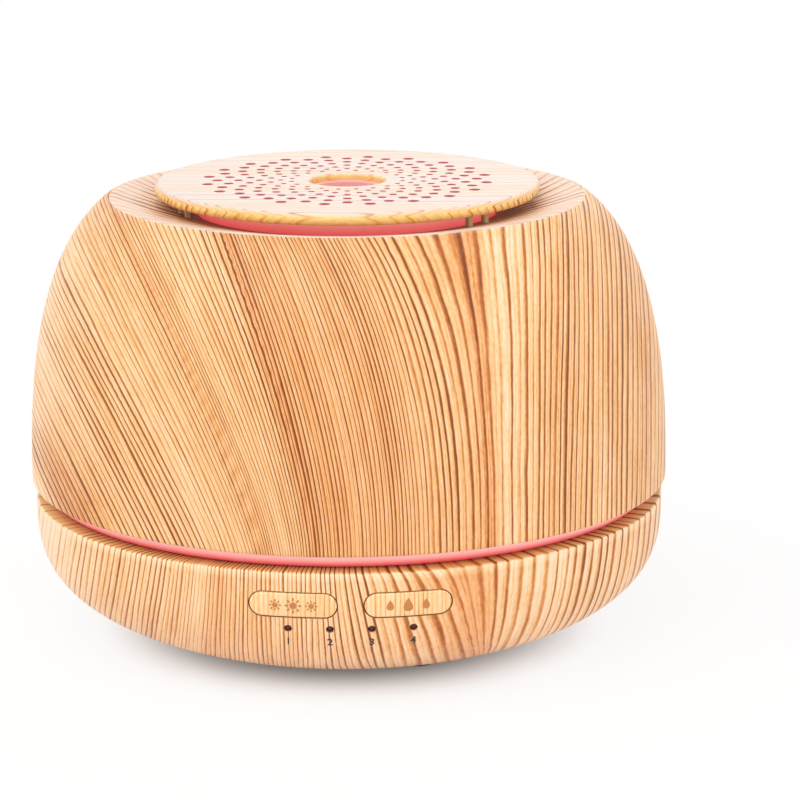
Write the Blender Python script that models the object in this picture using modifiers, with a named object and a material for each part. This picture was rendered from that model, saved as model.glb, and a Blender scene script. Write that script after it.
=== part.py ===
"""Ultrasonic essential oil diffuser: a bowl base with a water tank, under a domed cover with a vent disc.

Sizes are in metres and +Z is up. The origin is on the floor under the centre, and the buttons face -Y.
Angles called "from the front" turn from -Y towards +X.
"""

import math

import bmesh
import bpy
from mathutils import Matrix, Vector

MM = 0.001
GAP = 0.3 * MM  # left between pieces that bear on each other

# Outer form
FOOT_HEIGHT = 2.0 * MM
BASE_HEIGHT = 35.8 * MM  # bottom plate's underside to the base's rim
RING_GAP = 4.2 * MM  # open height between base and cover, where the lit ring shows
COVER_HEIGHT = 74.7 * MM  # bottom edge to crest
COVER_RADIUS = 84.0 * MM
BASE_SETBACK = 1.0 * MM  # how much narrower the base is than the cover
WALL = 2.2 * MM  # both outer shells
BASE_EDGE = 1.6 * MM  # rounding of the base's rim
COVER_EDGE = 1.2 * MM  # height over which the cover's bottom edge tucks in
COVER_TUCK = 0.8 * MM
CREST_EDGE = 1.2 * MM  # rounding of the crest, measured down from it
BASE_CLOSING = 3.3 * MM  # the bowl's curve would close this far below the plate
COVER_CLOSING = 8.3 * MM  # the dome's curve would close this far above the crest
BASE_POWER = 2.9
COVER_POWER = 2.4
COVER_SHOULDER = 5.0

# Dish and vent disc
DISH_DROP = 4.3 * MM
NECK_RADIUS = 38.8 * MM  # drum of the mist shade, inside the dish
NECK_PLAY = 0.5 * MM
DISC_OVERHANG = 11.5 * MM  # the disc reaches this far beyond the drum
DISC_THICKNESS = 3.2 * MM
DISC_LIFT = 0.1 * MM  # underside of the disc above the crest
OUTLET_RADIUS = 10.2 * MM
VENT_RINGS = 9
VENT_HOLES = 20  # in each ring, every other ring turned by half a step
VENT_FIRST_RADIUS = 14.6 * MM
VENT_PITCH = 2.75 * MM
VENT_SMALL = 1.4 * MM  # hole diameter in the innermost ring
VENT_LARGE = 3.0 * MM  # hole diameter in the outermost ring
LEG_ANGLES = (-72.0, 48.0, 168.0)  # degrees from the front
LEG_SETBACK = 6.3 * MM  # in from the disc's edge
LEG_SPREAD = 6.2 * MM  # between the two legs of a pair
LEG_WIDTH = 1.6 * MM
LEG_DEPTH = 1.4 * MM
LEG_HOOK = 0.8 * MM
LEG_HOOK_HEIGHT = 1.4 * MM
LEG_HOOK_FLARE = 0.1 * MM  # the hook stands out this far all round its leg

# Mist shade
SHADE_WALL = 1.6 * MM
CHIMNEY_RADIUS = 8.0 * MM
CHIMNEY_LENGTH = 21.5 * MM
SHADE_DROP = 2.0 * MM  # shoulder below the dish's underside
SHOULDER_WIDTH = 13.2 * MM
SHADE_SCREW_INSET = 6.0 * MM  # in from the shoulder's edge
SKIRT_PLAY = 1.7 * MM  # between skirt and tank collar
SKIRT_OVERLAP = 8.0 * MM  # the skirt's reach into the collar
SKIRT_RISE = 18.0 * MM  # straight part above the collar

# Water tank
RING_SETBACK = 2.9 * MM  # lit ring in from the base's side
RING_BEARING = 5.1 * MM  # width of ledge under the ring
RING_WIDTH = 8.3 * MM  # the ring stands out this far from the collar
RING_HIDDEN = 1.0 * MM  # part of the ring's height inside the cover
TANK_WALL = 1.6 * MM
TANK_FLOOR = 2.0 * MM
COLLAR_HEIGHT = 24.2 * MM  # above the base's rim
BOWL_CORNER = 7.0 * MM
TOWER_DEPTH = 9.0 * MM  # air tower's bore along X
TOWER_WIDTH = 18.0 * MM  # and along Y
TOWER_SHIFT = 4.0 * MM  # outwards from the fan's centre
TOWER_RISE = 2.0 * MM  # above the collar
WINDOW_HEIGHT = 7.0 * MM

# Bottom plate and feet
PLATE_THICKNESS = 2.3 * MM
LIP_WIDTH = 7.4 * MM
FOOT_RADIUS = 5.0 * MM
FOOT_SINK = 0.6 * MM
FOOT_INSET = 7.0 * MM
FOOT_TURN = 25.0
GRILLE_SLOTS = 5
GRILLE_PITCH = 4.0 * MM
GRILLE_SLOT = 2.2 * MM
GRILLE_RADIUS = 12.0 * MM
GRILLE_SHIFT = 2.0 * MM
GRILLE_EDGE = 0.9 * MM
BOSS_RADIUS = 3.6 * MM
BOSS_PLAY = 0.6 * MM

# Screws: head radius, head height, shank radius
LARGE_SCREW = (2.6 * MM, 0.9 * MM, 1.3 * MM)
SMALL_SCREW = (1.8 * MM, 1.0 * MM, 0.9 * MM)
SCREW_TOP = 0.7  # flat top of a screw's head, as a share of its radius
LARGE_GRIP = 9.0 * MM
SMALL_GRIP = 2.2 * MM  # thread beyond the piece that the screw holds
SMALL_BOSS = 2.0 * MM

# Ultrasonic transducer and lamp ring
SONIC_HOLE = 8.0 * MM
SONIC_RADIUS = 10.0 * MM
SONIC_THICKNESS = 1.0 * MM
SEAL_RADIUS = 11.0 * MM
SEAL_BORE = 8.5 * MM
SEAL_LIP = 0.4 * MM
CLAMP_RADIUS = 15.4 * MM
CLAMP_BORE = 6.5 * MM
CLAMP_THICKNESS = 1.2 * MM
CLAMP_SCREW_CIRCLE = 13.4 * MM
LAMP_COUNT = 6
LAMP_SIZE = 5.0 * MM
LAMP_HEIGHT = 1.2 * MM
LAMP_BOARD_INNER = 16.0 * MM
LAMP_BOARD_OUTER = 22.5 * MM
LAMP_BOARD_THICKNESS = 1.2 * MM

# Fan
FAN_SIZE = 30.0 * MM
FAN_HEIGHT = 10.0 * MM
FAN_Y = -5.0 * MM
FAN_PLAY = 0.5 * MM
FAN_LIFT = 4.0 * MM  # above the bottom plate, for the air that it draws in
FAN_WALL = 1.0 * MM  # thinnest part of the frame round the bore
FAN_HOLE_INSET = 3.0 * MM
FAN_HUB = 6.5 * MM
FAN_AXLE = 1.5 * MM
FAN_ARM = 1.2 * MM
FAN_BLADES = 7
FAN_TIP_GAP = 1.1 * MM
FAN_BLADE_ROOT = 2.0 * MM  # part of a blade inside the hub
FAN_BLADE_CHORD = 8.0 * MM
FAN_BLADE_THICKNESS = 1.0 * MM
FAN_BLADE_PITCH = 40.0
GASKET_HEIGHT = 2.6 * MM
GASKET_WIDTH = 1.4 * MM

# Circuit boards
BOARD_THICKNESS = 1.6 * MM
MAIN_BOARD_LIFT = 4.7 * MM  # above the bottom plate
MAIN_BOARD_LENGTH = 30.0 * MM
MAIN_BOARD_PLAY = 1.4 * MM
INNER_PLAY = 1.6 * MM  # main board and power inlet to the bowl's inner side
MAIN_BOARD_POST = 2.2 * MM
POST_INSET = 4.0 * MM
POST_STEP = 9.0 * MM
JACK_WIDTH = 9.0 * MM
JACK_LENGTH = 14.0 * MM
JACK_NOSE = 4.2 * MM
JACK_BORE = 3.2 * MM
JACK_PIN = 1.0 * MM
JACK_DEPTH = 9.5 * MM
JACK_EDGE = 1.0 * MM
CAN_RADIUS = 3.2 * MM  # capacitor
CAN_HEIGHT = 9.0 * MM
CAN_EDGE = 0.6 * MM
COIL_FLANGE = 4.0 * MM  # inductor
COIL_CORE = 2.8 * MM
COIL_HEIGHT = 7.0 * MM
COIL_CHEEK = 1.0 * MM
SINK_SIZE = (4.0 * MM, 15.0 * MM, 8.5 * MM)
SINK_BACK = 1.6 * MM  # solid part behind the fins
SINK_PITCH = 3.6 * MM
SINK_SLOT = 1.8 * MM
DRIVER_SIZE = (2.4 * MM, 7.0 * MM, 7.0 * MM)
DRIVER_EDGE = 0.5 * MM
COMPONENT_ROW = 10.5 * MM  # capacitor and inductor behind the board's front edge
COMPONENT_STEP = 8.5 * MM  # capacitor to inductor
SINK_ROW = 19.2 * MM  # heat sink's middle behind the board's front edge
SINK_INSET = 5.4 * MM  # heat sink's middle in from the board's side

# Control panel
PANEL_DEPTH = 13.0 * MM  # control board's face in from the base's side
CONTROL_SCREW_CLEAR = 3.8 * MM  # lower screws beyond the light guide's ends
CONTROL_SCREW_DROP = 2.5 * MM  # and below its axis
CONTROL_MARGIN = 3.6 * MM  # board beyond the lower screws
CONTROL_FOOT = 5.0 * MM  # board below the indicators
CONTROL_HEADROOM = 1.1 * MM  # board below the ledge
BUTTON_SPACING = 6.7 * MM  # between the two buttons
BUTTON_DROP = 8.3 * MM  # below the base's rim
BUTTON_WIDTH = 21.3 * MM
BUTTON_HEIGHT = 6.2 * MM
PILL_END = 0.49  # radius of a pill's ends, as a share of its height
BUTTON_PROUD = 0.4 * MM
BUTTON_FLANGE = 1.2 * MM
BUTTON_POST = 1.5 * MM
SWITCH_SIZE = 6.0 * MM
SWITCH_DEPTH = 3.2 * MM
PLUNGER_RADIUS = 1.6 * MM
PLUNGER_LENGTH = 3.0 * MM
PLUNGER_REACH = 1.5 * MM
INDICATOR_COUNT = 4
INDICATOR_PITCH = 10.2 * MM
INDICATOR_DROP = 14.7 * MM
INDICATOR_RADIUS = 1.0 * MM
INDICATOR_RECESS = 1.2 * MM
GUIDE_HEIGHT = 2.8 * MM
GUIDE_THICKNESS = 1.0 * MM
RECEIVER_SIZE = (3.4 * MM, 3.0 * MM, 4.2 * MM)
RECEIVER_EDGE = 1.0 * MM

# Facets
SIDES_OUTER = 28
SIDES_INNER = 24
SIDES_MEDIUM = 14
SIDES_SMALL = 6
SIDES_VENT = 5
BOWL_STEPS = 5
DOME_STEPS = 6
SHARP_ANGLE = 35.0  # degrees between two faces from which their edge looks sharp

# Heights and radii that follow
BASE_RADIUS = COVER_RADIUS - BASE_SETBACK
RIM_Z = FOOT_HEIGHT + BASE_HEIGHT
COVER_Z = RIM_Z + RING_GAP
CREST_Z = COVER_Z + COVER_HEIGHT
BASE_WIDEST_Z = RIM_Z - BASE_EDGE
DISC_UNDER_Z = CREST_Z + DISC_LIFT
DISC_TOP_Z = DISC_UNDER_Z + DISC_THICKNESS
DISH_INNER = NECK_RADIUS + NECK_PLAY
DISC_RADIUS = NECK_RADIUS + DISC_OVERHANG
LEG_RADIUS = DISC_RADIUS - LEG_SETBACK
PLATE_TOP_Z = FOOT_HEIGHT + PLATE_THICKNESS
SEAM_Z = PLATE_TOP_Z + GAP
RING_RADIUS = BASE_RADIUS - RING_SETBACK
RING_TOP_Z = COVER_Z + RING_HIDDEN
LEDGE_INNER = RING_RADIUS - RING_BEARING
COLLAR_RADIUS = RING_RADIUS - RING_WIDTH
COLLAR_TOP_Z = RIM_Z + COLLAR_HEIGHT
FAN_Z = PLATE_TOP_Z + FAN_LIFT
FAN_TOP_Z = FAN_Z + FAN_HEIGHT
FLOOR_Z = FAN_TOP_Z + GASKET_HEIGHT + 2 * GAP
FLOOR_TOP_Z = FLOOR_Z + TANK_FLOOR
SKIRT_RADIUS = COLLAR_RADIUS - TANK_WALL - SKIRT_PLAY
SKIRT_Z = COLLAR_TOP_Z - SKIRT_OVERLAP
SPRING_Z = COLLAR_TOP_Z + SKIRT_RISE
SHOULDER_RADIUS = NECK_RADIUS + SHOULDER_WIDTH
SHADE_SCREW_CIRCLE = SHOULDER_RADIUS - SHADE_SCREW_INSET
PANEL_Y = PANEL_DEPTH - BASE_RADIUS
CONTROL_BACK_Y = PANEL_Y + BOARD_THICKNESS
BOWL_RADIUS = -CONTROL_BACK_Y - SMALL_SCREW[1] - 2 * GAP - TANK_WALL
BUTTON_X = (BUTTON_WIDTH + BUTTON_SPACING) / 2
BUTTON_Z = RIM_Z - BUTTON_DROP
INDICATOR_Z = RIM_Z - INDICATOR_DROP
GUIDE_LENGTH = (INDICATOR_COUNT - 1) * INDICATOR_PITCH + GUIDE_HEIGHT
CONTROL_SCREW_X = GUIDE_LENGTH / 2 + CONTROL_SCREW_CLEAR
CONTROL_WIDTH = 2 * (CONTROL_SCREW_X + CONTROL_MARGIN)
FAN_X = LAMP_BOARD_OUTER + FAN_PLAY + FAN_SIZE / 2
FAN_BORE = FAN_SIZE / 2 - FAN_WALL
FAN_BLADE_TIP = FAN_BORE - FAN_TIP_GAP
MAIN_BOARD_Z = PLATE_TOP_Z + MAIN_BOARD_LIFT
MAIN_BOARD_TOP_Z = MAIN_BOARD_Z + BOARD_THICKNESS


def curve_radius(radius, run, reach, run_power, radius_power):
    """Radius of a superellipse at a distance run from its widest line."""
    if run <= 0:
        return radius
    return radius * (1 - (run / reach) ** run_power) ** (1 / radius_power)


def base_radius_at(z, inset=0.0):
    """Radius of the bowl's outer side, or of a surface set in from it."""
    reach = BASE_HEIGHT + BASE_CLOSING - inset
    return curve_radius(BASE_RADIUS - inset, BASE_WIDEST_Z - z, reach, BASE_POWER, 2.0)


def cover_radius_at(z, inset=0.0):
    """Radius of the dome's outer side, or of a surface set in from it."""
    reach = COVER_HEIGHT + COVER_CLOSING - inset
    return curve_radius(COVER_RADIUS - inset, z - COVER_Z, reach, COVER_POWER, COVER_SHOULDER)


def dish_z(radius):
    """Height of the dish, a shallow cone from the crest down to the neck."""
    crest = cover_radius_at(CREST_Z)
    return CREST_Z - DISH_DROP * (crest - radius) / (crest - DISH_INNER)


LIP_INNER = base_radius_at(SEAM_Z) - LIP_WIDTH
SCREW_CIRCLE = LIP_INNER - BOSS_PLAY - BOSS_RADIUS
SHOULDER_Z = dish_z(DISH_INNER) - WALL - SHADE_DROP


def spread(start, end, count):
    """Values from start to end, closer together towards the end."""
    return [start + (end - start) * math.sin(math.pi / 2 * i / count) for i in range(count + 1)]


def arc(centre, radii, start, end, count):
    """Points of an elliptical arc in the profile plane, angles in degrees."""
    turns = [math.radians(start + (end - start) * i / count) for i in range(count + 1)]
    return [(centre[0] + radii[0] * math.cos(t), centre[1] + radii[1] * math.sin(t)) for t in turns]


def bend(first, corner, last, count=2):
    """Points of a rounded corner, a quadratic curve between two straight runs."""
    points = []
    for i in range(count + 1):
        t = i / count
        weights = ((1 - t) ** 2, 2 * t * (1 - t), t * t)
        points.append(tuple(sum(w * p[k] for w, p in zip(weights, (first, corner, last))) for k in (0, 1)))
    return points


def around(radius, degrees, z=0.0):
    """Point on a circle, at an angle counted from +X."""
    turn = math.radians(degrees)
    return Vector((radius * math.cos(turn), radius * math.sin(turn), z))


def from_front(radius, degrees, z=0.0):
    """Point on a circle, at an angle counted from the front."""
    return around(radius, degrees - 90.0, z)


def clear_scene():
    for obj in list(bpy.data.objects):
        bpy.data.objects.remove(obj, do_unlink=True)


def new_collection(name):
    collection = bpy.data.collections.new(name)
    bpy.context.scene.collection.children.link(collection)
    return collection


def finish(name, colour, roughness, metallic=0.0):
    material = bpy.data.materials.new(name)
    material.use_nodes = True
    shader = material.node_tree.nodes["Principled BSDF"]
    shader.inputs["Base Color"].default_value = (*colour, 1.0)
    shader.inputs["Roughness"].default_value = roughness
    shader.inputs["Metallic"].default_value = metallic
    material.diffuse_color = (*colour, 1.0)
    return material


COVER_PARTS = ("upper_shell", "mist_shade", "vent_disc", "shade_screw")

clear_scene()
PARTS = new_collection("Diffuser")
CUTTERS = new_collection("Cutters")
WOOD = finish("wood print", (0.80, 0.55, 0.27), 0.45)
PALE_WOOD = finish("pale wood print", (0.86, 0.66, 0.40), 0.45)
TRANSLUCENT = finish("translucent plastic", (0.90, 0.45, 0.48), 0.35)
TAN = finish("tan plastic", (0.62, 0.44, 0.26), 0.55)
RUBBER = finish("rubber", (0.10, 0.09, 0.08), 0.80)
STEEL = finish("steel", (0.62, 0.62, 0.63), 0.35, 1.0)
BOARD = finish("circuit board", (0.05, 0.25, 0.10), 0.50)
BLACK = finish("black plastic", (0.03, 0.03, 0.03), 0.45)
WHITE = finish("white plastic", (0.85, 0.85, 0.82), 0.45)
SILICONE = finish("silicone", (0.75, 0.76, 0.78), 0.60)
ALUMINIUM = finish("aluminium", (0.75, 0.75, 0.76), 0.40, 1.0)


def add(name, mesh, material=None):
    """Links a new object, as a part where it has a material and else as a cutter."""
    obj = bpy.data.objects.new(name, mesh)
    if material is None:
        CUTTERS.objects.link(obj)
        obj.hide_render = True
        obj.display_type = "WIRE"
    else:
        PARTS.objects.link(obj)
        mesh.materials.append(material)
    return obj


def turned(name, profile, material=None, closed=True, sides=SIDES_OUTER, at=(0.0, 0.0, 0.0)):
    """Solid of revolution: a loop of (radius, z), or a line from the axis back to it."""
    mesh = bpy.data.meshes.new(name)
    count = len(profile)
    edges = [(i, i + 1) for i in range(count - 1)]
    if closed:
        edges.append((count - 1, 0))
    mesh.from_pydata([(radius, 0.0, z) for radius, z in profile], edges, [])
    obj = add(name, mesh, material)
    obj.location = at
    spin = obj.modifiers.new("Turn", "SCREW")
    spin.steps = sides
    spin.render_steps = sides
    spin.use_merge_vertices = True
    spin.merge_threshold = 1e-6
    return obj


def block(name, size, at, material=None, radius=0.0, axis=2, segments=2):
    """Box of a size about a centre, with the edges along one axis rounded."""
    shape = bmesh.new()
    bmesh.ops.create_cube(shape, size=1.0, matrix=Matrix.Diagonal((*size, 1.0)))
    if radius > 0:
        edges = []
        for edge in shape.edges:
            run = edge.verts[0].co - edge.verts[1].co
            if abs(run[axis]) > 0.9 * run.length:
                edges.append(edge)
        bmesh.ops.bevel(shape, geom=edges, offset=radius, segments=segments, profile=0.5, affect="EDGES")
    mesh = bpy.data.meshes.new(name)
    shape.to_mesh(mesh)
    shape.free()
    obj = add(name, mesh, material)
    obj.location = at
    return obj


def rods(name, spans, material=None, sides=SIDES_SMALL, at=(0.0, 0.0, 0.0)):
    """Straight round bars, each given by its start, its end and its radius."""
    shape = bmesh.new()
    for start, end, radius in spans:
        start, end = Vector(start), Vector(end)
        run = end - start
        turn = Vector((0, 0, 1)).rotation_difference(run).to_matrix().to_4x4()
        place = Matrix.Translation((start + end) / 2) @ turn
        bmesh.ops.create_cone(
            shape, cap_ends=True, segments=sides, radius1=radius, radius2=radius, depth=run.length, matrix=place
        )
    mesh = bpy.data.meshes.new(name)
    shape.to_mesh(mesh)
    shape.free()
    obj = add(name, mesh, material)
    obj.location = at
    return obj


def combine(obj, other, operation):
    step = obj.modifiers.new(other.name, "BOOLEAN")
    step.operation = operation
    step.object = other
    step.solver = "EXACT"


def cut(obj, *others):
    for other in others:
        combine(obj, other, "DIFFERENCE")


def fuse(obj, *others):
    for other in others:
        combine(obj, other, "UNION")


def trim(obj, other):
    combine(obj, other, "INTERSECT")
    return obj


def screw(name, kind, seat, direction, grip):
    """Round-headed screw whose head bears at seat, with its thread running along direction."""
    head_radius, head_height, shank = kind
    profile = [
        (0.0, head_height),
        (head_radius * SCREW_TOP, head_height),
        (head_radius, 0.0),
        (shank, 0.0),
        (shank, -grip),
        (0.0, -grip),
    ]
    obj = turned(name, profile, STEEL, closed=False, sides=SIDES_SMALL, at=seat)
    obj.rotation_mode = "QUATERNION"
    obj.rotation_quaternion = Vector((0, 0, -1)).rotation_difference(Vector(direction))
    return obj


def inner_crest_z():
    """Height where the dome's inner side meets the dish's underside, found by halving."""
    low, high = COVER_Z, CREST_Z
    for _ in range(40):
        middle = (low + high) / 2
        if dish_z(cover_radius_at(middle, WALL)) - WALL > middle:
            low = middle
        else:
            high = middle
    return low


def make_upper_shell():
    """Dome with a dished top, and an inner flange that rests on the tank's ring."""
    crest = cover_radius_at(CREST_Z)
    shoulder_z = CREST_Z - CREST_EDGE
    tuck_z = COVER_Z + COVER_EDGE
    inner_radius = COVER_RADIUS - WALL
    flange_inner = COLLAR_RADIUS + 2 * GAP
    seat_z = RING_TOP_Z + GAP
    dish_edge = crest - 2 * CREST_EDGE
    profile = [(DISH_INNER, dish_z(DISH_INNER))]
    profile += bend((dish_edge, dish_z(dish_edge)), (crest, CREST_Z), (cover_radius_at(shoulder_z), shoulder_z))
    profile += [(cover_radius_at(z), z) for z in reversed(spread(tuck_z, shoulder_z, DOME_STEPS)[:-1])]
    profile += bend(profile[-1], (COVER_RADIUS, COVER_Z), (COVER_RADIUS - COVER_TUCK, COVER_Z))[1:]
    profile += [
        (inner_radius, COVER_Z),
        (inner_radius, seat_z),
        (flange_inner, seat_z),
        (flange_inner, seat_z + WALL),
    ]
    profile += [(cover_radius_at(z, WALL), z) for z in spread(seat_z + WALL, inner_crest_z(), DOME_STEPS - 2)]
    profile.append((DISH_INNER, dish_z(DISH_INNER) - WALL))
    shell = turned("upper_shell", profile, WOOD)

    boss_top = dish_z(SHADE_SCREW_CIRCLE) - WALL / 2
    bosses, holes = [], []
    for degrees in LEG_ANGLES:
        spot = from_front(SHADE_SCREW_CIRCLE, degrees + 60.0)
        foot = spot + Vector((0, 0, SHOULDER_Z + GAP))
        bosses.append((foot, spot + Vector((0, 0, boss_top)), SMALL_BOSS + GAP))
        holes.append((foot - Vector((0, 0, WALL)), foot + Vector((0, 0, SMALL_GRIP)), SMALL_SCREW[2] + GAP))
    fuse(shell, rods("shade boss", bosses))
    cut(shell, rods("shade boss hole", holes))
    for place, turn in leg_places():
        slot = block("leg slot", (LEG_WIDTH + 2 * GAP, LEG_DEPTH + LEG_HOOK + 3 * GAP, 5 * WALL), (0, 0, 0))
        slot.location = place + turn @ Vector((0, (GAP - LEG_HOOK) / 2, 0))
        slot.location.z = dish_z(LEG_RADIUS)
        slot.rotation_euler = turn.to_euler()
        cut(shell, slot)


def leg_places():
    """Centre of each of the disc's legs, and the turn that points its Y axis outwards."""
    places = []
    for degrees in LEG_ANGLES:
        turn = Matrix.Rotation(math.radians(degrees + 180.0), 3, "Z")
        for side in (-1, 1):
            sideways = turn @ Vector((side * LEG_SPREAD / 2, 0, 0))
            places.append((from_front(LEG_RADIUS, degrees) + sideways, turn))
    return places


def make_vent_disc():
    """Thin disc with a centre outlet, staggered rings of graded holes, and three pairs of snap legs."""
    rim = DISC_THICKNESS / 2
    profile = [(OUTLET_RADIUS, DISC_TOP_Z)]
    profile += arc((DISC_RADIUS - rim, DISC_UNDER_Z + rim), (rim, rim), 90, -90, 4)
    profile.append((OUTLET_RADIUS, DISC_UNDER_Z))
    disc = turned("vent_disc", profile, PALE_WOOD)
    disc.rotation_euler.z = math.pi / (2 * SIDES_OUTER)  # no facet's edge runs through the middle of a hole

    holes = []
    for ring in range(VENT_RINGS):
        share = ring / (VENT_RINGS - 1)
        radius = VENT_FIRST_RADIUS + ring * VENT_PITCH
        bore = VENT_SMALL + (VENT_LARGE - VENT_SMALL) * share
        shift = 0.5 if ring % 2 == 0 else 0.0
        for i in range(VENT_HOLES):
            spot = from_front(radius, 360.0 * (i + shift) / VENT_HOLES)
            low = spot + Vector((0, 0, DISC_UNDER_Z - DISC_THICKNESS))
            holes.append((low, spot + Vector((0, 0, DISC_TOP_Z + DISC_THICKNESS)), bore / 2))
    cut(disc, rods("vents", holes, sides=SIDES_VENT))

    hook_top = dish_z(LEG_RADIUS - LEG_DEPTH) - WALL - GAP
    hook_low = hook_top - LEG_HOOK_HEIGHT
    leg_top = DISC_UNDER_Z + DISC_THICKNESS / 3
    for place, turn in leg_places():
        leg_low = hook_low + LEG_HOOK_FLARE
        leg = block("leg", (LEG_WIDTH, LEG_DEPTH, leg_top - leg_low), (0, 0, 0))
        leg.location = place + Vector((0, 0, (leg_top + leg_low) / 2))
        flare = 2 * LEG_HOOK_FLARE
        hook = block("leg hook", (LEG_WIDTH + flare, LEG_DEPTH + LEG_HOOK + flare, LEG_HOOK_HEIGHT), (0, 0, 0))
        hook.location = place + turn @ Vector((0, -LEG_HOOK / 2, 0))
        hook.location.z = (hook_top + hook_low) / 2
        for piece in (leg, hook):
            piece.rotation_euler = turn.to_euler()
            fuse(disc, piece)


def make_mist_shade():
    """Liner that gathers the mist: skirt, dome, drum neck and a chimney under the outlet."""
    top_z = DISC_UNDER_Z - GAP
    edge = SHADE_WALL / 2
    inner_dome = (SKIRT_RADIUS - SHADE_WALL - SHOULDER_RADIUS, SHOULDER_Z - SHADE_WALL - SPRING_Z)
    outer_dome = (SKIRT_RADIUS - SHOULDER_RADIUS, SHOULDER_Z - SPRING_Z)
    profile = [
        (CHIMNEY_RADIUS, top_z),
        (NECK_RADIUS - edge, top_z),
        (NECK_RADIUS, top_z - edge),
        (NECK_RADIUS, SHOULDER_Z),
    ]
    profile += arc((SHOULDER_RADIUS, SPRING_Z), outer_dome, 90, 0, 4)
    profile += [(SKIRT_RADIUS, SKIRT_Z), (SKIRT_RADIUS - SHADE_WALL, SKIRT_Z)]
    profile += arc((SHOULDER_RADIUS, SPRING_Z), inner_dome, 0, 90, 4)
    profile += [
        (NECK_RADIUS - SHADE_WALL, SHOULDER_Z - SHADE_WALL),
        (NECK_RADIUS - SHADE_WALL, top_z - SHADE_WALL),
        (CHIMNEY_RADIUS + SHADE_WALL, top_z - SHADE_WALL),
        (CHIMNEY_RADIUS + SHADE_WALL, top_z - CHIMNEY_LENGTH),
        (CHIMNEY_RADIUS, top_z - CHIMNEY_LENGTH),
    ]
    shade = turned("mist_shade", profile, TRANSLUCENT, sides=SIDES_INNER)
    holes = []
    for number, degrees in enumerate(LEG_ANGLES, 1):
        spot = from_front(SHADE_SCREW_CIRCLE, degrees + 60.0, SHOULDER_Z)
        reach = Vector((0, 0, 2 * SHADE_WALL))
        holes.append((spot - reach, spot + reach, SMALL_SCREW[2] + GAP))
        seat = spot - Vector((0, 0, SHADE_WALL + GAP))
        screw(f"shade_screw_{number}", SMALL_SCREW, seat, (0, 0, 1), SHADE_WALL + SMALL_GRIP)
    cut(shade, rods("shade screw hole", holes))


def corner_bosses():
    """Centres of the four bosses that take the bottom screws."""
    return [around(SCREW_CIRCLE, 45.0 + 90.0 * i) for i in range(4)]


def fan_bosses():
    """Centres of the two opposite fan corners that take a screw."""
    offset = FAN_SIZE / 2 - FAN_HOLE_INSET
    return [Vector((FAN_X + side * offset, FAN_Y + side * offset, 0)) for side in (-1, 1)]


def clamp_bosses():
    return [around(CLAMP_SCREW_CIRCLE, 90.0 + 120.0 * i) for i in range(3)]


def lamp_bosses():
    return [around((LAMP_BOARD_INNER + LAMP_BOARD_OUTER) / 2, 30.0 + 120.0 * i) for i in range(3)]


def seal_z():
    """Underside of the transducer's seal, which the clamp presses up."""
    return FLOOR_Z - GAP - 2 * SEAL_LIP - SONIC_THICKNESS - 2 * GAP


def lamp_board_z():
    """Top of the lamp board, with its lamps just under the tank's floor."""
    return FLOOR_Z - GAP - LAMP_HEIGHT - GAP


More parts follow.
